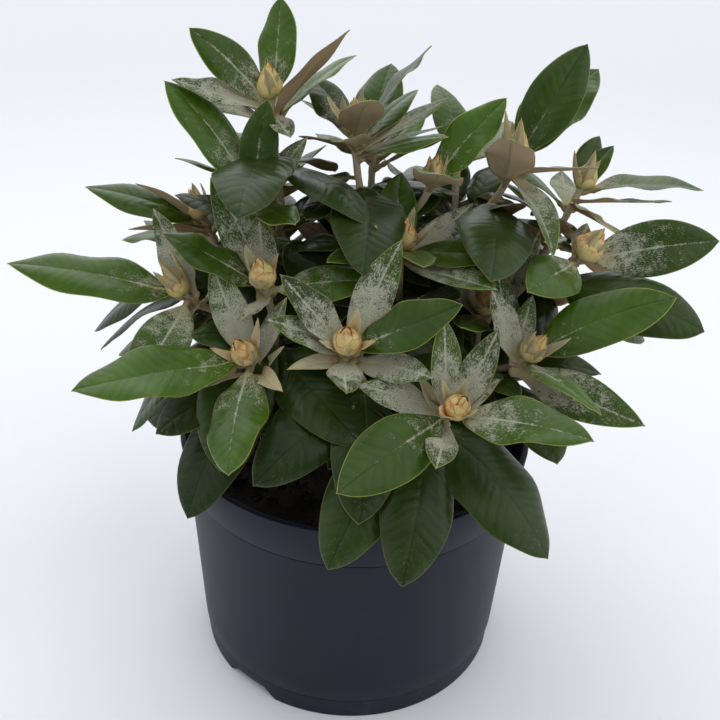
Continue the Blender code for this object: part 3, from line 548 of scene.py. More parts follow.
# Foliage masses: the height on the trunk where the bough leaves it, the bough's tip, and the shoots
masses = {
    "front": (15, (14, -34, 158), [
        Shoot((-5, -55, 211), (270, 60),
              felted=[(175, 50, 48), (40, 60, 58), (200, 33, 45), (270, 12, 48), (320, 12, 48)],
              green=[(350, 32, 58)], thin=[(215, 12, 35), (45, 77, 28)],
              old=[(271, -28, 72), (231, -17, 76)]),
        Shoot((44, -78, 193), (290, 55),
              felted=[(115, 76, 46), (30, 64, 48), (190, 30, 47), (262, 4, 44), (355, 42, 34)],
              green=[(225, -7, 70), (325, 14, 67)], thin=[(170, 65, 24), (310, 35, 26)],
              old=[(262, -33, 78), (317, -24, 86), (240, -30, 82)]),
    ]),
    "front_left": (23, (-34, -22, 164), [
        Shoot((-52, -45, 197), (235, 60),
              felted=[(140, 59, 53), (35, 62, 37)],
              green=[(205, 2, 82), (268, -13, 68)], thin=[(215, -3, 37), (293, 15, 38), (330, 52, 22)],
              old=[(236, -36, 80), (215, -8, 66)]),
        Shoot((-46, -20, 225), (240, 70),
              felted=[(110, 66, 40), (252, 5, 30), (145, 57, 68)],
              green=[(185, 32, 55), (350, 12, 64)]),
    ]),
    "left": (34, (-56, 2, 184), [
        Shoot((-88, -10, 214), (190, 55),
              felted=[(140, 58, 49, -20), (120, 62, 29), (238, -11, 40, 40)],
              green=[(188, 14, 86, 20), (255, -18, 68, 40)], thin=[(305, 35, 30)],
              old=[(200, -24, 74), (165, -26, 76)]),
        Shoot((-84, 30, 239), (160, 65),
              felted=[(205, 16, 40, -15)],
              green=[(185, 18, 62, 35)], thin=[(175, 29, 46), (220, 9, 46), (190, 24, 51, 20)]),
    ]),
    "upper_left": (47, (-36, 30, 205), [
        Shoot((-56, 15, 259), (200, 75),
              felted=[(340, 52, 29, -40), (20, 54, 43, -30)],
              green=[(160, 49, 70), (65, 75, 49, -45), (297, -5, 58)]),
        Shoot((-49, 45, 299), (120, 80),
              felted=[(190, 15, 53, 30), (290, -5, 36)],
              green=[(85, 62, 54), (175, 43, 54, 60)], old=[(140, -9, 60)]),
    ]),
    "top": (60, (0, 27, 212), [
        Shoot((-6, 42, 284), (110, 84), green=[(280, 35, 55), (20, 50, 60)]),
        Shoot((34, 30, 262), (320, 78), green=[(270, 25, 60), (30, 45, 62)]),
    ]),
    "middle": (52, (20, 0, 196), [
        Shoot((20, -2, 240), (290, 74), green=[(265, 15, 55), (340, 10, 60)]),
    ]),
    "right_low": (25, (54, -14, 166), [
        Shoot((82, -35, 199), (320, 60),
              felted=[(130, 64, 48, 20), (190, 67, 44, 40), (50, 76, 36, 20), (325, -5, 69, -20)],
              green=[(5, 27, 77), (300, 3, 56)], old=[(290, -8, 68), (345, 12, 56)]),
        Shoot((63, 0, 205), (300, 75),
              felted=[(160, 55, 40), (30, 54, 55)], green=[(250, 18, 45)], old=[(120, 45, 61)]),
    ]),
    "right": (34, (80, 28, 196), [
        Shoot((117, 55, 255), (30, 65),
              green=[(0, 5, 66, -10), (60, 45, 38), (35, 42, 37)],
              felted=[(335, 9, 50), (288, 4, 34)], thin=[(315, -14, 41)]),
        Shoot((114, 20, 229), (350, 60),
              green=[(0, 12, 73, -45), (240, 9, 65)], felted=[(70, 15, 38)],
              old=[(330, -2, 85, -35), (5, -26, 76)]),
    ]),
    "upper_right": (43, (46, 42, 210), [
        Shoot((77, 40, 274), (60, 75),
              green=[(35, 54, 70, -50), (45, 33, 80, -20), (30, 41, 31)],
              felted=[(335, 12, 45)], thin=[(284, -16, 66)]),
        Shoot((52, 74, 262), (65, 72), green=[(100, 30, 66), (60, 10, 70)]),
    ]),
    "back_left": (20, (-38, 48, 168), [
        Shoot((-52, 70, 246), (125, 70), green=[(140, 28, 68)], old=[(110, -10, 74)]),
        Shoot((-70, 66, 200), (140, 52), green=[(150, 8, 76)], old=[(120, -26, 76), (165, -24, 74)]),
    ]),
    "back": (30, (4, 52, 176), [
        Shoot((4, 72, 270), (90, 78), green=[(80, 36, 62), (110, 12, 70)]),
        Shoot((-6, 84, 206), (95, 54), green=[(85, 4, 74)], old=[(100, -30, 78), (70, -28, 76)]),
    ]),
    "back_right": (14, (44, 48, 160), [
        Shoot((74, 66, 198), (45, 54), green=[(40, 8, 76)], old=[(60, -28, 76), (20, -26, 76)]),
        Shoot((40, 84, 226), (75, 64), green=[(95, 10, 70)], old=[(75, -14, 74)]),
    ]),
}


def bezier(start, startWay, end, endWay):
    # Smooth path from start to end that leaves and arrives along the given directions
    reach = (end - start).length * limbSize["bend"]
    a, b = start + startWay * reach, end - endWay * reach

    def at(t):
        s = 1 - t
        return start * s ** 3 + a * 3 * s * s * t + b * 3 * s * t * t + end * t ** 3
    return at


def plainTube(path, footRadius, endRadius, sides, rings):
    # The solids' own coarse tube, to test leaves against
    points, faces, side = [], [], None
    for ring in range(rings):
        t = ring / (rings - 1)
        way = (path(min(1, t + 0.01)) - path(max(0, t - 0.01))).normalized()
        side = side or way.orthogonal()
        side = (side - way * side.dot(way)).normalized()
        other = way.cross(side)
        radius = footRadius + (endRadius - footRadius) * t
        for k in range(sides):
            turn = math.tau * k / sides
            points.append(path(t) + (side * math.cos(turn) + other * math.sin(turn)) * radius)
    for ring in range(rings - 1):
        for k in range(sides):
            a, b = ring * sides + k, ring * sides + (k + 1) % sides
            faces.append((a, b, b + sides, a + sides))
    faces.append(tuple(reversed(range(sides))))
    faces.append(tuple(range((rings - 1) * sides, rings * sides)))
    return points, faces


def plainBud(tip, axis):
    # The solids' own coarse bud
    foot = tip - axis * budSize["sink"]
    side = axis.orthogonal().normalized()
    other = axis.cross(side)
    sides, rings = budSize["sides"], budSize["rings"]
    points, faces = [foot], []
    for ring in range(1, rings):
        t = ring / rings
        wide = budSize["radius"] * math.sin(math.pi * t ** budSize["outline"]) ** budSize["outline"]
        for k in range(sides):
            turn = math.tau * (k + 0.5 * ring) / sides
            out = side * math.cos(turn) + other * math.sin(turn)
            points.append(foot + axis * (budSize["length"] * t) + out * wide)
    points.append(foot + axis * budSize["length"])
    for k in range(sides):
        a, b = 1 + k, 1 + (k + 1) % sides
        faces.append((0, b, a))
        for ring in range(rings - 2):
            low = ring * sides
            high = low + sides
            faces += [(low + a, low + b, high + a), (low + b, high + b, high + a)]
        top = (rings - 2) * sides
        faces.append((top + a, top + b, len(points) - 1))
    return points, faces


class Leaf:
    # A leaf in its own frame: way along it, side across it and up out of its upper face
    def __init__(self, kind, root, axis, bearing, rise, length, roll=0):
        self.kind = kind
        self.length = length
        self.way = direction(bearing, rise)
        side = axis.cross(self.way).normalized()
        up = self.way.cross(side)
        self.root = root + side.cross(axis) * leafRule["rootOffset"]
        self.side = side * math.cos(math.radians(roll)) - up * math.sin(math.radians(roll))
        self.up = up * math.cos(math.radians(roll)) + side * math.sin(math.radians(roll))
        self.middle = self.root + self.way * length / 2

    def plainMesh(self, grow=0.0, start=0.0):
        # The solids' own coarse leaf: four-sided sections up to a point
        share, fold, arch = leafShapes[self.kind]
        rule = leafRule
        stations = rule["smallStations"] if self.length < rule["small"] else rule["stations"]
        thick = max(rule["leastThickness"], rule["thicknessShare"] * self.length) / 2 + grow
        points, faces = [], []
        for t in stations:
            if t < start:
                continue
            raised = self.length * arch * 4 * t * (1 - t)
            middle = self.root + self.way * (self.length * t) + self.up * raised
            if t == 1:
                points.append(middle + self.way * grow)
                break
            blade = max(0, (t - rule["petioleEnd"]) / (1 - rule["petioleEnd"]))
            outline = math.sin(math.pi * blade ** rule["widest"]) ** rule["fullness"]
            wide = max(rule["petioleHalfWidth"], share * self.length / 2 * outline) + grow
            edge = self.up * (fold * wide)
            high = max(thick, rule["petioleHalfWidth"] + grow) if t <= rule["stalkShare"] else thick
            points += [middle - self.side * wide + edge, middle - self.up * high,
                       middle + self.side * wide + edge, middle + self.up * high]
        rings = (len(points) - 1) // 4
        for ring in range(rings - 1):
            for k in range(4):
                a, b = ring * 4 + k, ring * 4 + (k + 1) % 4
                if k % 2 == 0:
                    faces += [(a, b, b + 4), (a, b + 4, a + 4)]
                else:
                    faces += [(a, b, a + 4), (b, b + 4, a + 4)]
        last = rings * 4
        faces += [(last - 4 + k, last - 4 + (k + 1) % 4, last) for k in range(4)]
        faces.append((3, 2, 1, 0))
        return points, faces

    def tree(self, grow=0.0, start=0.0):
        return BVHTree.FromPolygons(*self.plainMesh(grow, start))


class Crown:
    # Every leaf of every mass, each clear of what was there before it
    def __init__(self, limbs):
        self.limbs = limbs           # (mass or None, tree) of the pot, soil, trunk, boughs, twigs and buds
        self.leaves = []             # (mass, leaf, whole tree, blade tree)

    def isFree(self, mass, leaf):
        blade = leaf.tree(leafRule["clearance"], leafRule["bladeStart"])
        whole = leaf.tree(leafRule["clearance"])
        for owner, tree in self.limbs:
            if (blade if owner == mass else whole).overlap(tree):
                return False
        for owner, other, otherWhole, otherBlade in self.leaves:
            if (leaf.middle - other.middle).length > (leaf.length + other.length) * leafRule["nearbyShare"]:
                continue
            if owner == mass and blade.overlap(otherBlade):
                return False
            if owner != mass and whole.overlap(otherWhole):
                return False
        return True

    def keep(self, mass, leaf):
        self.leaves.append((mass, leaf, leaf.tree(), leaf.tree(0, leafRule["bladeStart"])))


def nudges():
    # Small turns about a leaf's own direction, nearest first, then the same a little shorter
    yield 0, 0, 1
    for size in leafRule["nudgeSizes"]:
        for k in range(leafRule["nudgeWays"]):
            turn = math.tau * k / leafRule["nudgeWays"]
            yield size * math.cos(turn), size * math.sin(turn), 1 - leafRule["nudgeShorter"] * size


def shootPoint(path, down):
    # The point this far below the shoot's end, along its path
    steps = leafRule["pathSteps"]
    point, walked = path(1), 0
    for i in range(steps - 1, -1, -1):
        below = path(i / steps)
        length = (point - below).length
        if walked + length >= down:
            return point.lerp(below, (down - walked) / length)
        point, walked = below, walked + length
    return point


def setLeaves(crown, mass, shoot, path):
    # The listed leaves, young ones near the bud and old ones lower down
    young = aged = 0
    for kind, bearing, rise, length, *roll in shoot.leaves:
        if kind == old:
            down = leafRule["oldDrop"] + leafRule["oldStep"] * aged
        else:
            down = leafRule["firstDrop"] + leafRule["step"] * young
        root = shootPoint(path, down)
        for turn, lift, share in nudges():
            leaf = Leaf(kind, root, shoot.lean, bearing + turn, rise + lift, length * share * mm, *roll)
            if crown.isFree(mass, leaf):
                crown.keep(mass, leaf)
                aged, young = aged + (kind == old), young + (kind != old)
                break


def fanned(lean, turn, spread):
    # A direction that leans away from the shoot's own by the spread, at a turn round it. Gives the direction
    # across the shoot on that side, and the bearing and rise of the whole.
    side = lean.orthogonal().normalized()
    out = side * math.cos(turn) + lean.cross(side) * math.sin(turn)
    way = lean * math.cos(spread) + out * math.sin(spread)
    return out, math.degrees(math.atan2(way.y, way.x)), math.degrees(math.asin(way.z))


def growLeaves(crown, mass, shoot, path, chance):
    # Leaves by rule: round the shoot by the golden angle, the inner ones short and upright, the outer ones
    # longer and more spread, and last the old ones below
    rule = leafRule
    mine = [leaf for owner, leaf, *_ in crown.leaves
            if owner == mass and (leaf.root - shoot.tip).length < rule["shootReach"]]
    aged = sum(leaf.kind == old for leaf in mine)
    young = len(mine) - aged
    turn = chance.uniform(0, math.tau)
    for i in range(rule["tries"]):
        turn += math.radians(rule["goldenAngle"])
        if young < rule["fullYoung"]:
            inner = young < rule["innerShare"] * rule["fullYoung"] and len(mine) > rule["fullOld"]
            kind = thin if inner else (felted if i % 2 else green)
            down = rule["firstDrop"] + rule["step"] * young
        elif aged < rule["fullOld"]:
            kind = old
            down = rule["oldDrop"] + rule["oldStep"] * aged
        else:
            break
        spread = math.radians(chance.uniform(*rule["spread"][kind]))
        length = chance.uniform(*rule["length"][kind]) * mm
        _, bearing, rise = fanned(shoot.lean, turn, spread)
        if kind == old:
            rise = max(rule["oldLeastRise"], min(rise, 0))
        leaf = Leaf(kind, shootPoint(path, down), shoot.lean, bearing, rise, length)
        near = any(leaf.way.angle(known.way) < math.radians(rule["apart"]) for known in mine)
        if not near and crown.isFree(mass, leaf):
            crown.keep(mass, leaf)
            mine.append(leaf)
            aged, young = aged + (kind == old), young + (kind != old)


# Leaves that the solids leave out: dark ones low in the crown, and the cream bracts round each bud

moreRule = {
    "seed": 4, "down": (24 * mm, 64 * mm), "rise": (-20, 46), "length": (40, 68), "tries": 90, "full": 9,
    "middle": Vector((6, 18, 0)) * mm, "reach": 104 * mm, "lowest": 126 * mm, "highest": 262 * mm,
    "bracts": 4, "bractTries": 30, "bractSpread": (6, 40), "bractLength": (12, 24), "bractOut": 1.6 * mm,
    "bractClearance": 0.6 * mm, "bractFrom": 0.3,
}


def growInner(crown, mass, shoot, path, chance):
    # Old leaves along the lower twig, at all bearings, that stay well inside the crown
    rule = moreRule
    turn, kept = chance.uniform(0, 360), 0
    for _ in range(rule["tries"]):
        turn += leafRule["goldenAngle"]
        root = shootPoint(path, chance.uniform(*rule["down"]))
        rise, length = chance.uniform(*rule["rise"]), chance.uniform(*rule["length"]) * mm
        leaf = Leaf(old, root, shoot.lean, turn, rise, length)
        tip = leaf.root + leaf.way * length
        out = (tip - rule["middle"]).xy.length
        if out > rule["reach"] or not rule["lowest"] < tip.z < rule["highest"]:
            continue
        if crown.isFree(mass, leaf):
            crown.keep(mass, leaf)
            kept += 1
        if kept == rule["full"]:
            break


def growBracts(crown, mass, shoot, chance):
    # Bracts round the bud by the golden angle, each clear of the leaves. They may lie on each other.
    rule = moreRule
    turn, kept = chance.uniform(0, math.tau), []
    near = [tree for _, leaf, tree, _ in crown.leaves
            if (leaf.root - shoot.tip).length < leafRule["shootReach"]]
    for _ in range(rule["bractTries"]):
        turn += math.radians(leafRule["goldenAngle"])
        out, *heading = fanned(shoot.lean, turn, math.radians(chance.uniform(*rule["bractSpread"])))
        leaf = Leaf(bract, shoot.tip + out * rule["bractOut"], shoot.lean, *heading,
                    chance.uniform(*rule["bractLength"]) * mm)
        tree = leaf.tree(rule["bractClearance"], rule["bractFrom"])
        if not any(tree.overlap(known) for known in near):
            kept.append(leaf)
        if len(kept) == rule["bracts"]:
            break
    for leaf in kept:
        crown.keep(mass, leaf)


def trunkPath(t):
    foot = trunkSize["foot"] + Vector((0, 0, soilValues["top"] + gap))
    top = trunkSize["top"] + Vector((0, 0, soilValues["top"] + trunkSize["height"]))
    return foot.lerp(top, t) + trunkSize["bow"] * math.sin(math.pi * t)


def boughPath(height, tip, shoots):
    # The bough's path, its end and its last direction, towards the middle of what it carries
    tip = Vector(tip) * mm
    middle = sum((shoot.tip for shoot in shoots), Vector()) / len(shoots)
    endWay = (middle - tip).normalized()
    share = min(1, height * mm / trunkSize["height"])
    start = trunkPath(share)
    if share == 1:
        startWay = (start - trunkPath(0.98)).normalized()
        start = start + startWay * gap
    else:
        out = math.degrees(math.atan2(tip.y - start.y, tip.x - start.x))
        startWay = direction(out, limbSize["boughFootRise"])
    return bezier(start, startWay, tip, endWay), tip, endWay


def eachShoot(paths):
    for name, (_, _, shoots) in masses.items():
        for shoot, twig in zip(shoots, paths[name][3]):
            yield name, shoot, twig


def growCrown():
    # Gives two dictionaries by mass: the bough's path, its end and last direction and the twigs' paths, and
    # the leaves
    limbs = []
    for name in ["pot", "soil", "trunk"] + ["bough_" + mass for mass in masses]:
        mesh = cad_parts[name].data
        points = [vertex.co.copy() for vertex in mesh.vertices]
        limbs.append((None, BVHTree.FromPolygons(points, [tuple(face.vertices) for face in mesh.polygons])))
    size = limbSize
    paths = {}
    for name, (height, tip, shoots) in masses.items():
        path, end, way = boughPath(height, tip, shoots)
        foot, fork = end + way * gap, end + way * (gap + size["stemLength"])
        stem = plainTube(lambda t: foot.lerp(fork, t), size["boughTipRadius"], size["boughTipRadius"],
                         size["stemSides"], 2)
        start = fork - way * size["twigSink"]
        twigs = []
        for shoot in shoots:
            startWay = (way + (shoot.tip - start).normalized()).normalized()
            twigs.append(bezier(start, startWay, shoot.tip, shoot.lean))
        paths[name] = (path, end, way, twigs)
        tubes = [plainTube(twig, size["twigRadius"], size["shootRadius"], size["twigSides"],
                           size["twigRings"]) for twig in twigs]
        for mesh in [stem] + tubes + [plainBud(shoot.tip, shoot.lean) for shoot in shoots]:
            limbs.append((name, BVHTree.FromPolygons(*mesh)))
    crown = Crown(limbs)
    for each in eachShoot(paths):
        setLeaves(crown, *each)
    for grow, rule in ((growLeaves, leafRule), (growInner, moreRule)):
        chance = random.Random(rule["seed"])
        for each in eachShoot(paths):
            grow(crown, *each, chance)
    for name, shoot, _ in eachShoot(paths):
        growBracts(crown, name, shoot, chance)
    return paths, {name: [leaf for owner, leaf, *_ in crown.leaves if owner == name] for name in masses}


# Leaves: a closed thin blade with a grooved midrib above and a raised one below

leafValues = {
    "thickness": 0.45 * mm, "stalkRadius": 0.95 * mm, "ribDepth": 0.9 * mm, "ribWidth": 0.7 * mm,
    "groove": 0.30 * mm, "grooveWidth": 0.5 * mm,
    "rows": 30, "rowCrowding": 0.09,                 # rows stand closer at both ends
    "topColumns": (1, 0.965, 0.86, 0.68, 0.46, 0.26, 0.12, 0.05, 0),
    "underColumns": (0.9, 0.55, 0.2, 0.07, 0),
    "tipSharpness": 22, "footReach": 0.45, "droopFrom": 0.55, "twistFrom": 0.2, "seed": 11,
    # What differs from leaf to leaf
    "bend": 0.045, "twist": 0.38, "droopSpread": 0.03, "widthSpread": (0.92, 1.06), "foldSpread": (0.4, 1.7),
    "waves": (1.2, 2.8),
    # By kind. Width is over length. Power moves the widest part towards the tip, and a low fullness makes
    # the outline blunt. Base is the width at the foot, over the full width. Fold, recurve and wave of the
    # margins are over the half width, and arch and droop of the tip are over the length.
    "width": {felted: 0.35, green: 0.41, thin: 0.26, old: 0.45, bract: 0.33},
    "power": {felted: 0.84, green: 0.92, thin: 0.74, old: 0.96, bract: 0.5},
    "fullness": {felted: 0.84, green: 0.72, thin: 0.9, old: 0.62, bract: 1.0},
    "base": {felted: 0.66, green: 0.16, thin: 0.85, old: 0.05, bract: 0.9},
    "fold": {felted: 0.28, green: 0.18, thin: 0.42, old: 0.06, bract: 0.5},
    "arch": {felted: 0.02, green: 0.04, thin: 0.03, old: 0.07, bract: -0.10},
    "recurve": {felted: 0.13, green: 0.20, thin: 0.06, old: 0.17, bract: 0.0},
    "wave": {felted: 0.09, green: 0.10, thin: 0.08, old: 0.07, bract: 0.08},
    "droop": {felted: 0.01, green: -0.02, thin: 0.0, old: -0.045, bract: -0.04},
    # Shares of felt, of fresh green and of cream, dealt out leaf by leaf
    "felt": {felted: (0.70, 1.08), green: (0.1, 0.55), thin: (1.0, 1.3), old: (0.0, 0.08), bract: (1.2, 1.5)},
    "fresh": {felted: (0.35, 0.75), green: (0.35, 1.0), thin: (0.6, 0.9), old: (0.0, 0.25),
              bract: (1.0, 1.0)},
    "cream": {felted: (0.0, 0.12), green: (0.0, 0.0), thin: (0.35, 0.9), old: (0.0, 0.0), bract: (0.25, 1.1)},
    # Finish
    "gloss": 0.26, "roughness": 0.34, "feltRoughness": 0.95, "reliefHeight": 0.28 * mm, "relief": 0.85,
    # The same, in mm
    "veinGap": 5.5, "veinSlant": 0.75, "midrib": (0.5, 0.15), "grooveShade": (0.65, 0.1), "margin": (0.5, 0.2),
    "feltLine": (0.85, 0.15), "rib": (1.0, 0.5), "creamUpTo": (50, 38), "feltUpTo": 75,
    # Colours of an old leaf and of a fresh one
    "body": ((0.0145, 0.0325, 0.0045), (0.050, 0.116, 0.003)),
    "blotch": ((0.034, 0.054, 0.006), (0.066, 0.118, 0.004)),
    "midribColour": ((0.060, 0.072, 0.024), (0.13, 0.19, 0.035)),
    "marginColour": ((0.075, 0.088, 0.020), (0.36, 0.38, 0.07)),
    "stalk": ((0.12, 0.13, 0.04), (0.44, 0.37, 0.21)),
    # Two shades that the grain mixes
    "silver": ((0.25, 0.26, 0.19), (0.69, 0.68, 0.56)), "ivory": ((0.40, 0.335, 0.165), (0.74, 0.64, 0.38)),
    "oldTan": ((0.27, 0.16, 0.075), (0.43, 0.28, 0.15)), "freshTan": ((0.36, 0.27, 0.15), (0.54, 0.43, 0.28)),
    "worn": (0.30, 0.31, 0.25), "footFelt": (0.58, 0.50, 0.27), "orange": (0.54, 0.215, 0.04),
    "ivoryEdge": (0.62, 0.55, 0.22), "ribColour": (0.30, 0.26, 0.12),
}


def leafArrays(leaves, chance):
    # Centre line = root + length * t along the leaf, arched, with the tip drooping and the whole bent
    # sideways. Half width = the kind's share of the length times a power of sin(pi * blade ** power).
    # Across a section the edges rise by the fold, and curl back and wave towards the margin.
    form, rule = leafValues, leafRule
    count = len(leaves)

    def perLeaf(values):
        return np.array(values, float).reshape(count, 1, 1)

    def byKind(*keys):
        return [perLeaf([form[key][leaf.kind] for leaf in leaves]) for key in keys]

    def drawn(low, high):
        return perLeaf(chance.uniform(low, high, count))

    length = perLeaf([leaf.length for leaf in leaves])
    width, power, fullness, base = byKind("width", "power", "fullness", "base")
    fold, arch, recurve, wave, droop = byKind("fold", "arch", "recurve", "wave", "droop")
    root, way, side, up = (np.array([getattr(leaf, key) for leaf in leaves])[:, None, :]
                           for key in ("root", "way", "side", "up"))
    bend, twist = (drawn(-1, 1) * form[key] for key in ("bend", "twist"))
    droop = droop + drawn(-1, 1) * form["droopSpread"]
    width = width * drawn(*form["widthSpread"])
    fold, recurve, wave = (values * drawn(*form["foldSpread"]) for values in (fold, recurve, wave))
    phases = chance.uniform(0, fullTurn, (2, count, 1, 1))
    beats = chance.uniform(*form["waves"], (2, count, 1, 1))

    s = np.linspace(0, 1, form["rows"])
    t = (s - form["rowCrowding"] * np.sin(fullTurn * s))[None, :, None]
    top, under = np.array(form["topColumns"]), np.array(form["underColumns"])
    column = np.concatenate([top, -top[-2::-1], -under, under[-2::-1]])
    above = np.arange(len(column)) < 2 * len(top) - 1
    u = column[None, None, :]

    # Outline, from the stalk through the widened foot to the point
    blade = np.clip((t - rule["petioleEnd"]) / (1 - rule["petioleEnd"]), 0, 1)
    outline = np.sin(math.pi * np.clip(blade, 1e-9, 0.999) ** power) ** fullness
    outline = outline * np.tanh((1.002 - blade) * form["tipSharpness"]) ** 0.5
    foot = base * np.clip(1 - t / form["footReach"], 0, 1) ** 2 * np.clip(0.6 + t * 10, 0, 1)
    half = width * length / 2 * np.sqrt(outline ** 2 + foot ** 2)
    half = np.sqrt(half ** 2 + (form["stalkRadius"] * np.clip((1 - t) * 8, 0.06, 1)) ** 2)
    x = u * half

    # Section, a thin blade that turns into a round stalk
    isBlade = np.clip((t - rule["petioleEnd"]) * 9 + base * 2, 0, 1)
    phase, beat = (np.where(u < 0, *pair) for pair in (phases, beats))
    rise = half * isBlade * (fold * (1.3 - 0.6 * t) * (np.sqrt(u * u + 0.01) - 0.1) - recurve * np.abs(u) ** 3
                             + wave * u * u * np.sin(fullTurn * beat * t + phase))
    thick = form["thickness"] / 2 * (1 - np.abs(u) ** 6) * isBlade
    thick = thick + (1 - isBlade) * half * np.sqrt(np.clip(1 - u * u, 0, 1))
    rib = form["ribDepth"] * (1 - 0.75 * t) * np.exp(-(x / form["ribWidth"]) ** 2) * isBlade
    groove = form["groove"] * (1 - 0.6 * t) * np.exp(-(x / form["grooveWidth"]) ** 2) * isBlade
    height = rise + np.where(above, thick - groove, -thick - rib)

    curve = 4 * t * (1 - t)
    raised = length * (arch * curve + droop * np.clip(t - form["droopFrom"], 0, 1) ** 2 * 4)
    centre = root + way * (length * t)[:, :, 0, None] + up * raised[:, :, 0, None]
    centre = centre + side * (length * bend * curve)[:, :, 0, None]
    angle = (twist * (t - form["twistFrom"]))[:, :, 0, None]
    across = side * np.cos(angle) + up * np.sin(angle)
    over = up * np.cos(angle) - side * np.sin(angle)
    points = sweep(centre, across, over, np.broadcast_to(x, height.shape), height)

    # The uv is u and t, with the under side two units further along u
    shift = np.where(np.arange(len(column)) < len(top) * 2 - 2, 0.0, 2.0)
    uv = ringUv(count, (column + 1) / 2 + shift, (np.roll(column, -1) + 1) / 2 + shift, t[0, :, 0])

    values = {}
    for key in ("felt", "fresh", "cream"):
        low, high = np.array([form[key][leaf.kind] for leaf in leaves]).T
        values[key] = perLeaf(low + (high - low) * chance.uniform(0, 1, count))
    values["tone"] = drawn(0, 1)
    values["half"], values["span"] = half / mm, length / mm
    return points, values, uv


def leafLook():
    # Green with a midrib that is pale at its foot and painted shade along its groove beyond, a yellow margin
    # and soft quilting between the side veins, with painted shade in the vein furrows. Silvery felt lies over
    # it from the base, along the midrib and in worn specks, and the under side is tan felt. Small young leaves
    # and bracts are cream. Lengths are in mm.
    f = leafValues
    look = Look("leaf", Specular_IOR_Level=f["gloss"])
    u = look.uv()
    along = u.also("Y")
    under = u > 1.5
    side = (u - under * 2) * 2 - 1
    across = abs(side)
    felt, fresh, cream, tone, half, span = look.attributes("felt", "fresh", "cream", "tone", "half", "span")
    x, y, out, rim = side * half, along * span, across * half, (1 - across) * half
    leafNumber = tone * 90
    flat = combined(x, y, leafNumber)
    patches = noise(flat, 0.16, 3, 0.6)
    speckle = noise(combined(x, y * 0.45, leafNumber), 1.9, 3, 0.75)
    fine = noise(flat, 5.0)
    cloud = noise(flat, 0.07, 3)
    grain = noise(combined(x * 1.5, y * 0.22, leafNumber), 1.0, 3)

    # Side veins run from the midrib forwards to the margin, with the blade puffed a little between them and
    # painted shade in the furrows along them
    comb = (y - out * f["veinSlant"]) / f["veinGap"] + (cloud - 0.5) * 1.4
    quilt = comb.maths("PINGPONG", 0.5).step(0.0, 0.42)
    # Painted shade: the furrows along the side veins are darkened
    furrowShade = (1 - quilt) * across.step(1.0, 0.8) * across.step(0.04, 0.25)
    blotch = noise(combined(comb, x * 0.1, leafNumber), 1.1, 3, 0.6)
    midrib = out.step(*f["midrib"]) * along.step(0.75, 0.2)
    # Painted shade: the blade is darkened along the midrib groove beyond its foot
    grooveShade = out.step(*f["grooveShade"]) * along.step(0.2, 0.5)
    margin = rim.step(*f["margin"]) * along.step(0.02, 0.14)

    body = mixed(fresh, *f["body"])
    body = mixed(blotch.step(0.45, 0.75) * 0.45, body, mixed(fresh, *f["blotch"]))
    # Random tone by leaf, in clouds and in fine grain, times the painted shade of the vein furrows
    shade = (0.70 + tone * 0.6) * (0.62 + cloud * 0.76) * (1 - furrowShade * 0.12) * (0.86 + fine * 0.28)
    # The painted shade of the midrib groove darkens the body here
    body = tinted(body, shade * (0.8 + blotch * 0.4) * (1 - grooveShade * 0.4))
    body = mixed(midrib * 0.7, body, mixed(fresh, *f["midribColour"]))
    body = mixed(margin * 0.85, body, mixed(fresh, *f["marginColour"]))
    worn = noise(flat, 0.9, 4, 0.75).step(0.60, 0.70) * along.step(0.6, 1.0)
    body = mixed(worn * 0.5, body, f["worn"])

    # Felt: dense over the base, then worn off in specks towards the tip and the margins, and less of it on
    # long leaves
    reach = felt.least(1.6 - span / f["feltUpTo"]) * 1.1
    level = (reach - along) * 1.7 + (patches - 0.5) * 2.2 - across ** 3 * 0.3
    level = level + out.step(*f["feltLine"]) * (felt * 2).least(0.7)
    cover = (level + (speckle - 0.5) * (1.8 + felt.least(1) * 2.4)).step(0.0, 0.8)
    silver = mixed(fine.step(0.3, 0.7), *f["silver"])
    silver = mixed(along.step(0.34, 0.04) * 0.8, silver, f["footFelt"])
    top = mixed(cover * (0.62 + fine * 0.36), body, silver)

    # Cream, orange at the foot and the tip, on leaves and bracts under a length
    warm = along.step(0.55, 0.12) * 0.95 + along.step(0.84, 1.0) * 0.7
    warm = warm + (patches - 0.5) * 2.4 + (tone - 0.5) * 0.4
    warm = (warm + (grain - 0.5) * 1.2).step(0.2, 1.0)
    ivory = mixed(fine * 0.6 + grain * 0.4, *f["ivory"])
    ivory = mixed(margin * 0.5, mixed(warm * 0.9, ivory, f["orange"]), f["ivoryEdge"])
    isCream = cream * span.step(*f["creamUpTo"])
    top = mixed(isCream, top, ivory)
    top = mixed(along.step(0.11, 0.07) * (1 - cream), top, mixed(felt.step(0.05, 0.6), *f["stalk"]))

    tan = mixed(fresh, mixed(fine.step(0.25, 0.75), *f["oldTan"]), mixed(fine, *f["freshTan"]))
    tan = mixed(isCream * 0.9, tan, ivory)
    tan = mixed(out.step(*f["rib"]) * 0.5, tan, f["ribColour"])
    look.feed("Base Color", mixed(under, top, tan))
    rough = (f["roughness"] - fresh * 0.03 + (cloud - 0.5) * 0.16) * (1 - cover) + cover * f["feltRoughness"]
    look.feed("Roughness", rough.most((under + cream).least(0.9)))
    relief = quilt * (0.42 - fresh * 0.22) + blotch * 0.4 + cover * (0.3 + fine * 0.8) + cream * grain * 1.2
    look.bump(relief, f["reliefHeight"], f["relief"])
    return look


def leafPieces(leavesOf):
    chance, look = np.random.default_rng(leafValues["seed"]), leafLook()
    for name, leaves in leavesOf.items():
        piece = joinTubes("leaves_" + name, [leafArrays(leaves, chance)], look)
        rideAndReplace(piece, "foliage", "foliage_" + name)


# Buds: overlapping scales round a closed, pointed oval

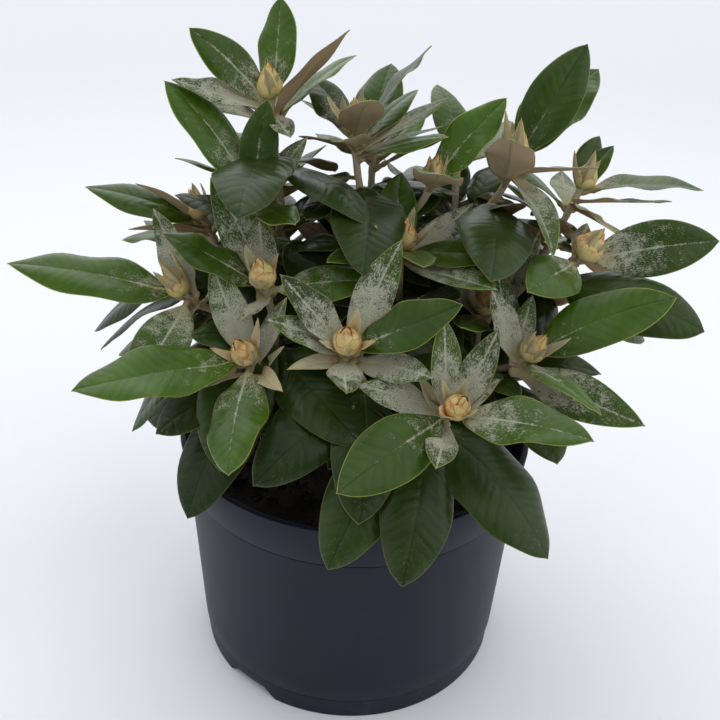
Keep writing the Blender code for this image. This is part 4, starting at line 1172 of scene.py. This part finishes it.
budValues = {
    "seed": 5, "scales": 12, "rows": 10, "columns": 9, "thickness": 0.35 * mm, "lift": 1.0 * mm,
    "radius": 5.8 * mm, "length": 19 * mm, "coreSides": 14, "coreRows": 12, "coreInset": 0.15 * mm,
    "swollen": {("right", 1): 1.3}, "plain": (0.88, 1.06),       # sizes, by mass and number of the shoot
    # From the lowest scale to the highest: its start and end along the bud, and half its width in degrees
    "start": (0.02, 0.38), "end": (0.46, 1.01), "endSpread": 0.03, "halfWidth": (80, 58),
    # A scale's outline is this stretch of a half wave, from its foot, to a power
    "outlineFrom": 0.24, "outlineRun": 0.757, "outlinePower": 0.8,
    # The oval
    "power": 0.64, "fullness": 0.95, "taper": 0.4, "taperFrom": 0.45,
    # Finish
    "cream": ((0.60, 0.49, 0.18), (0.76, 0.61, 0.30)), "foot": (0.50, 0.48, 0.18),
    "orange": (0.54, 0.215, 0.04),
    "roughness": 0.5, "reliefHeight": 0.12 * mm, "mottle": 420, "streaks": 1500,
}


def budLook():
    # Cream scales, greener at the foot, with orange-brown tips and edges
    f = budValues
    look = Look("budScale")
    rise, tone, edge = look.attributes("rise", "tone", "edge")
    mottle, streaks = noise(look.place, f["mottle"], 3), noise(look.place, f["streaks"], 3, 0.7)
    colour = mixed(rise.step(0.45, 0.0), mixed(tone, *f["cream"]), f["foot"])
    warm = rise.step(0.55, 1.0) * 0.7 + edge.step(0.7, 1.0) * rise * 0.3
    warm = warm + (mottle - 0.5) * 2.2 + (tone - 0.5) * 0.7
    colour = mixed(warm.step(0.15, 0.95) * 0.9, colour, f["orange"])
    look.feed("Base Color", tinted(colour, 0.72 + mottle * 0.3 + streaks * 0.25))
    look.feed("Roughness", f["roughness"] + mottle * 0.2)
    look.bump(streaks, f["reliefHeight"], 0.6)
    return look


def budOutline(share):
    # Radius of the oval over its greatest, at a share of its length: fattest below its middle, and pointed
    form = budValues
    taper = 1 - form["taper"] * np.clip(share - form["taperFrom"], 0, 1) / (1 - form["taperFrom"])
    return np.sin(math.pi * np.clip(share, 0, 1) ** form["power"]) ** form["fullness"] * taper


def budPieces():
    # A scale's point = the bud's foot + its height along the axis + the oval's radius there, at the scale's
    # bearing plus its own half angle times the column, lifted off the oval towards the scale's edges and tip.
    # Inside them a closed oval fills the bud.
    form = budValues
    chance, look = np.random.default_rng(form["seed"]), budLook()
    count = form["scales"]
    order = (np.arange(count) / (count - 1))[:, None, None]

    def ranged(key):
        low, high = form[key]
        return low + (high - low) * order

    for name, (_, _, shoots) in masses.items():
        scales, cores = [], []
        for number, shoot in enumerate(shoots):
            axis = np.array(shoot.lean)
            side = np.array(shoot.lean.orthogonal().normalized())
            other = np.cross(axis, side)
            foot = np.array(shoot.tip) - axis * budSize["sink"]
            size = form["swollen"].get((name, number), chance.uniform(*form["plain"]))

            def onBud(share, turn, more):
                radius = budOutline(share) * form["radius"] * size + more
                height = share * form["length"] * (0.6 + 0.4 * size)
                place = foot + axis * (height + 0 * turn)[..., None]
                place = place + side * (np.cos(turn) * radius)[..., None]
                return place + other * (np.sin(turn) * radius)[..., None]

            bearing = np.radians(leafRule["goldenAngle"]) * np.arange(count)[:, None, None]
            bearing = bearing + chance.uniform(0, fullTurn)
            start = ranged("start")
            ends = ranged("end") + chance.uniform(-form["endSpread"], form["endSpread"], (count, 1, 1))
            s = np.linspace(0, 1, form["rows"])[None, :, None]
            c = np.linspace(1, -1, form["columns"])
            column = np.concatenate([c, -c[1:-1]])[None, None, :]
            outer = (np.arange(column.size) < form["columns"])[None, None, :]
            outline = np.sin(math.pi * (form["outlineFrom"] + form["outlineRun"] * s)) ** form["outlinePower"]
            width = np.radians(ranged("halfWidth")) * outline
            lift = form["lift"] * (0.2 + 0.9 * s ** 2) * (1 - order * 0.4)
            more = lift + outer * form["thickness"] * (1 - column ** 4) * (1 - 0.6 * s)
            points = onBud(start + (np.clip(ends, 0, 1.0) - start) * s, bearing + width * column, more)
            tone = chance.uniform(0, 1, (count, 1, 1))
            scales.append((points, {"rise": s, "edge": np.abs(column), "tone": tone}))
            t = np.linspace(0.005, 0.995, form["coreRows"])[None, :, None]
            core = onBud(t, circle(form["coreSides"])[None, None, :], -form["coreInset"])
            cores.append((core, {"rise": t, "edge": 0.5, "tone": 0.3}))
        rideAndReplace(joinTubes("buds_" + name, scales + cores, look), "foliage", "foliage_" + name)


# Bark: trunk and boughs with fine ridges and scars, and the twigs with a felted upper end

barkValues = {
    "trunkSides": 56, "trunkRows": 90, "boughSides": 26, "boughRows": 60, "twigSides": 14, "twigRows": 44,
    "stemRows": 14, "sharpAngle": 50, "seed": 21, "twigSeed": 31,
    "ridge": 0.28 * mm, "fine": 0.12 * mm, "boughRelief": (0.5, 0.7), "twigRelief": (0.3, 0.5),
    "coarseWaves": (14, 5, 0.35), "fineWaves": (22, 11, 1.6),    # count, most times round, steepest along
    "collar": 0.5, "topCollar": 0.45, "collarLength": 5 * mm, "collarFrom": 0.9,
    "sunk": 2 * mm, "stemSunk": 1 * mm,
    "boughYoung": (0.1, 0.25), "stemYoung": 0.35, "twigYoung": (0.3, 0.7),     # felt at the foot, and its rise
    "twigFlare": 0.45 * mm, "scars": 0.35 * mm, "scarsFrom": 0.72, "scarPace": 90,
    # Finish
    "bark": ((0.085, 0.058, 0.037), (0.21, 0.165, 0.115)), "felt": ((0.34, 0.28, 0.17), (0.50, 0.43, 0.29)),
    "crack": (0.035, 0.024, 0.017), "hollowShade": (0.04, 0.028, 0.02), "scarColour": (0.06, 0.04, 0.03),
    "scarsPerMetre": 160, "crackStretch": 0.25, "cracks": 900, "patches": 110, "hairs": 1500,
    "roughness": 0.78, "reliefHeight": 0.3 * mm,
}


def barkLook():
    # Tan-grey bark with darker cracks along the limb, painted shade in the hollows between its ridges, and
    # pale tan felt towards the ends of the shoots
    f = barkValues
    look = Look("bark")
    young, hollowShade = look.attributes("young", "hollowShade")
    cracks = noise(drawnOut(look.place, f["crackStretch"]), f["cracks"], 5, 0.7)
    patches = noise(look.place, f["patches"], 3)
    rings = look.uv().also("Y") + (patches - 0.5) * 0.004
    scars = (rings * f["scarsPerMetre"]).maths("PINGPONG", 0.5).step(0.1, 0.0)
    colour = mixed(patches.step(0.3, 0.7), *f["bark"])
    colour = mixed(cracks.step(0.62, 0.42) * 0.7, colour, f["crack"])
    # Painted shade: darker where the ridged surface sinks into a hollow
    colour = mixed(hollowShade.step(0.55, 0.2) * 0.5, colour, f["hollowShade"])
    colour = mixed(scars * 0.25, colour, f["scarColour"])
    felt = mixed(noise(look.place, f["hairs"], 3), *f["felt"])
    look.feed("Base Color", mixed((young + (patches - 0.5) * 0.5).step(0.35, 0.75), colour, felt))
    look.feed("Roughness", f["roughness"] + cracks * 0.2)
    look.bump(cracks + patches * 0.5, f["reliefHeight"], 0.8)
    return look


def limb(centres, radii, chance, sides, young, relief=(1, 1)):
    # Ring = the path's centre, plus the radius with ridges that run along the limb and a finer grain on them.
    # The attributes are the young share and how hollow a point is, for the painted shade in the hollows. The
    # uv is the turn and the metres along.
    form = barkValues
    turn = circle(sides)[None, :]
    along = np.linspace(0, 1, len(centres))[:, None]
    pieces = np.linalg.norm(np.diff(centres, axis=0), axis=1)
    reach = along * pieces.sum() / mm
    coarse = ripples(chance, turn, reach, *form["coarseWaves"])
    small = ripples(chance, turn, reach, *form["fineWaves"])
    radius = radii[:, None] + form["ridge"] * relief[0] * coarse * 0.6 + form["fine"] * relief[1] * small
    side, other = acrossPath(centres)
    points = sweep(centres, side, other, radius * np.cos(turn), radius * np.sin(turn))
    share = np.arange(sides + 1) / sides
    uv = ringUv(1, share[:-1], share[1:], np.concatenate([[0], np.cumsum(pieces)]))
    return points[None], {"young": young, "hollowShade": 0.5 + 0.25 * coarse}, uv


def sampled(path, count):
    return np.array([path(t) for t in np.linspace(0, 1, count)])


def barkPiece(paths, look):
    # Trunk: the radius narrows upwards to a rounded top, with a flare in lobes at the foot. Boughs: each
    # starts inside the trunk, with a collar round its foot.
    form, size = barkValues, trunkSize
    chance = np.random.default_rng(form["seed"])
    centres = sampled(trunkPath, form["trunkRows"])
    centres[0, 2] -= form["sunk"]
    t = np.linspace(0, 1, form["trunkRows"])
    flare = size["flare"] * np.exp(-t * size["height"] / size["flareHeight"])
    radii = size["footRadius"] + (size["topRadius"] - size["footRadius"]) * t + flare
    radii = radii * np.sqrt(np.clip((1.004 - t) * 40, 0.05, 1))
    points, *rest = limb(centres, radii, chance, form["trunkSides"], 0.0)
    turn = circle(form["trunkSides"])
    lobes = flare[:, None] * size["lobeShare"] * np.cos(size["flareLobes"] * turn + math.pi / 2)
    out = unit(points - centres[:, None, :])
    tubes = [(points + out * lobes[..., None], *rest)]
    t = np.linspace(0, 1, form["boughRows"] + 1)
    foot, tip = limbSize["boughFootRadius"], limbSize["boughTipRadius"]
    young, more = form["boughYoung"]
    for name, (path, _, way, _) in paths.items():
        centres = sampled(path, form["boughRows"])
        centres = np.concatenate([centres, centres[-1:] + np.array(way) * gap])
        length = np.linalg.norm(np.diff(centres, axis=0), axis=1).sum()
        away = np.maximum(t * length - size["topRadius"] * form["collarFrom"], 0)
        collar = 1 + form["collar"] * np.exp(-away / form["collarLength"])
        if name == "top":
            collar = 1 + form["topCollar"] * np.exp(-t * length / form["collarLength"])
        tubes.append(limb(centres, (foot + (tip - foot) * t) * collar, chance, form["boughSides"],
                          (young + more * t)[:, None], form["boughRelief"]))
    piece = joinTubes("bark", tubes, look, form["sharpAngle"])
    rideAndReplace(piece, "bark", "trunk", *["bough_" + name for name in masses])


def twigPieces(paths, look):
    # The stem that goes on from the bough, and from its end the twigs, with bud scars below their tips
    form, size = barkValues, limbSize
    chance = np.random.default_rng(form["twigSeed"])
    young, more = form["twigYoung"]
    t = np.linspace(0, 1, form["twigRows"])
    radii = size["twigRadius"] + (size["shootRadius"] - size["twigRadius"]) * t
    radii = radii + form["twigFlare"] * np.exp(-t * 12)
    scars = form["scars"] * np.clip((t - form["scarsFrom"]) * 6, 0, 1)
    radii = radii + scars * (1 + np.cos(t * form["scarPace"])) / 2
    stemRadii = np.full(form["stemRows"], size["boughTipRadius"])
    steps = np.linspace(-form["stemSunk"], size["stemLength"] + gap, form["stemRows"])[:, None]
    for name, (_, end, way, twigs) in paths.items():
        stem = np.array(end)[None] + np.array(way)[None] * steps
        tubes = [limb(stem, stemRadii, chance, form["twigSides"], form["stemYoung"], form["twigRelief"])]
        for twig in twigs:
            tubes.append(limb(sampled(twig, form["twigRows"]), radii, chance, form["twigSides"],
                              (young + more * t)[:, None], form["twigRelief"]))
        piece = joinTubes("twigs_" + name, tubes, look, form["sharpAngle"])
        rideAndReplace(piece, "foliage", "foliage_" + name)


# Floor, light and camera

stage = {
    # Near the pot the floor is painted lighter, a pool of painted light
    "floorSize": 24.0, "nearPaintedLight": (0.85, 0.87, 0.915), "farColour": (0.715, 0.735, 0.775),
    "paintedLightFade": (0.35, 1.7), "floorRoughness": 0.9,
    # The world is darker overhead and behind the camera. The share that is dark grows with Z and against Y.
    "worldColour": (0.95, 0.97, 1.0), "worldStrength": 1.0, "frontShade": 0.72,
    "shadeUp": 0.75, "shadeForward": 0.66, "shadeFade": (0.0, 0.6), "horizonFade": (0.03, 0.25),
    # bearing, rise, angle across, strength
    "lamps": {"left": (200, 50, 75, 0.70), "right": (-22, 46, 70, 1.12), "back": (104, 44, 64, 1.1)},
    # metres from the target, degrees above the level, and degrees turned about the camera's own axis
    "lens": 45.1, "sensor": 36.0, "distance": 0.479, "elevation": 29.4, "roll": 2.2,
    "target": (0.0013, 0, 0.1737), "nearest": 0.01,
}


def makeStage():
    # A wide pale floor, painted lighter near the pot as a pool of light, that fades to the background's tone,
    # an even room and three very soft lamps
    s = stage
    half = s["floorSize"] / 2
    look = Look("floor", Roughness=s["floorRoughness"])
    away = Wire.node(look.tree, "ShaderNodeVectorMath", {"operation": "LENGTH"}, {0: look.place}, "Value")
    # Painted light: the floor is lighter near the pot, against the shade of the plant, and darker far off
    look.feed("Base Color", mixed(away.step(*s["paintedLightFade"]), s["nearPaintedLight"], s["farColour"]))
    corners = [(-half, -half, 0), (half, -half, 0), (half, half, 0), (-half, half, 0)]
    floor = makePiece("floor", corners, [np.array([[0, 1, 2, 3]])], look)

    world = bpy.data.worlds.new("studio")
    bpy.context.scene.world = world
    world.use_nodes = True
    tree = world.node_tree
    back = tree.nodes["Background"]
    back.inputs["Color"].default_value = (*s["worldColour"], 1)
    toward = separated(Wire.node(tree, "ShaderNodeTexCoord", None, None, "Generated"))
    up = toward.also("Z")
    front = (up * s["shadeUp"] - toward.also("Y") * s["shadeForward"]).step(*s["shadeFade"])
    front = front * up.step(*s["horizonFade"])
    tree.links.new((s["worldStrength"] * (1 - front * s["frontShade"])).socket, back.inputs["Strength"])

    for name, (bearing, rise, angle, strength) in s["lamps"].items():
        data = bpy.data.lights.new(name, "SUN")
        data.angle = math.radians(angle)
        data.energy = strength
        lamp = bpy.data.objects.new(name, data)
        lamp.rotation_euler = (-direction(bearing, rise)).to_track_quat("-Z", "Y").to_euler()
        bpy.context.scene.collection.objects.link(lamp)


def makeCamera():
    # The camera looks down at the target, turned a little about its own axis
    s = stage
    rise, roll = math.radians(s["elevation"]), math.radians(s["roll"])
    back = Vector((0, -math.cos(rise), math.sin(rise)))
    place = Vector(s["target"]) + back * s["distance"]
    level = (-back).cross(Vector((0, 0, 1))).normalized()
    upright = level.cross(-back)
    x = level * math.cos(roll) + upright * math.sin(roll)
    y = upright * math.cos(roll) - level * math.sin(roll)
    data = bpy.data.cameras.new("camera")
    data.lens, data.sensor_width = s["lens"], s["sensor"]
    data.clip_start = s["nearest"]
    camera = bpy.data.objects.new("camera", data)
    bpy.context.scene.collection.objects.link(camera)
    for i, axis in enumerate((x, y, back, place)):
        for k in range(3):
            camera.matrix_world[k][i] = axis[k]
    bpy.context.scene.camera = camera


def main():
    makeCamera()
    makeStage()
    bpy.context.scene.view_settings.view_transform = "Standard"
    print("camera, floor and light")
    potPiece()
    print("pot")
    soilPieces()
    print("soil")
    paths, leavesOf = growCrown()
    print("crown:", sum(len(leaves) for leaves in leavesOf.values()), "leaves and bracts")
    leafPieces(leavesOf)
    budPieces()
    bark = barkLook()
    barkPiece(paths, bark)
    twigPieces(paths, bark)
    print("leaves, buds, bark and twigs")


main()
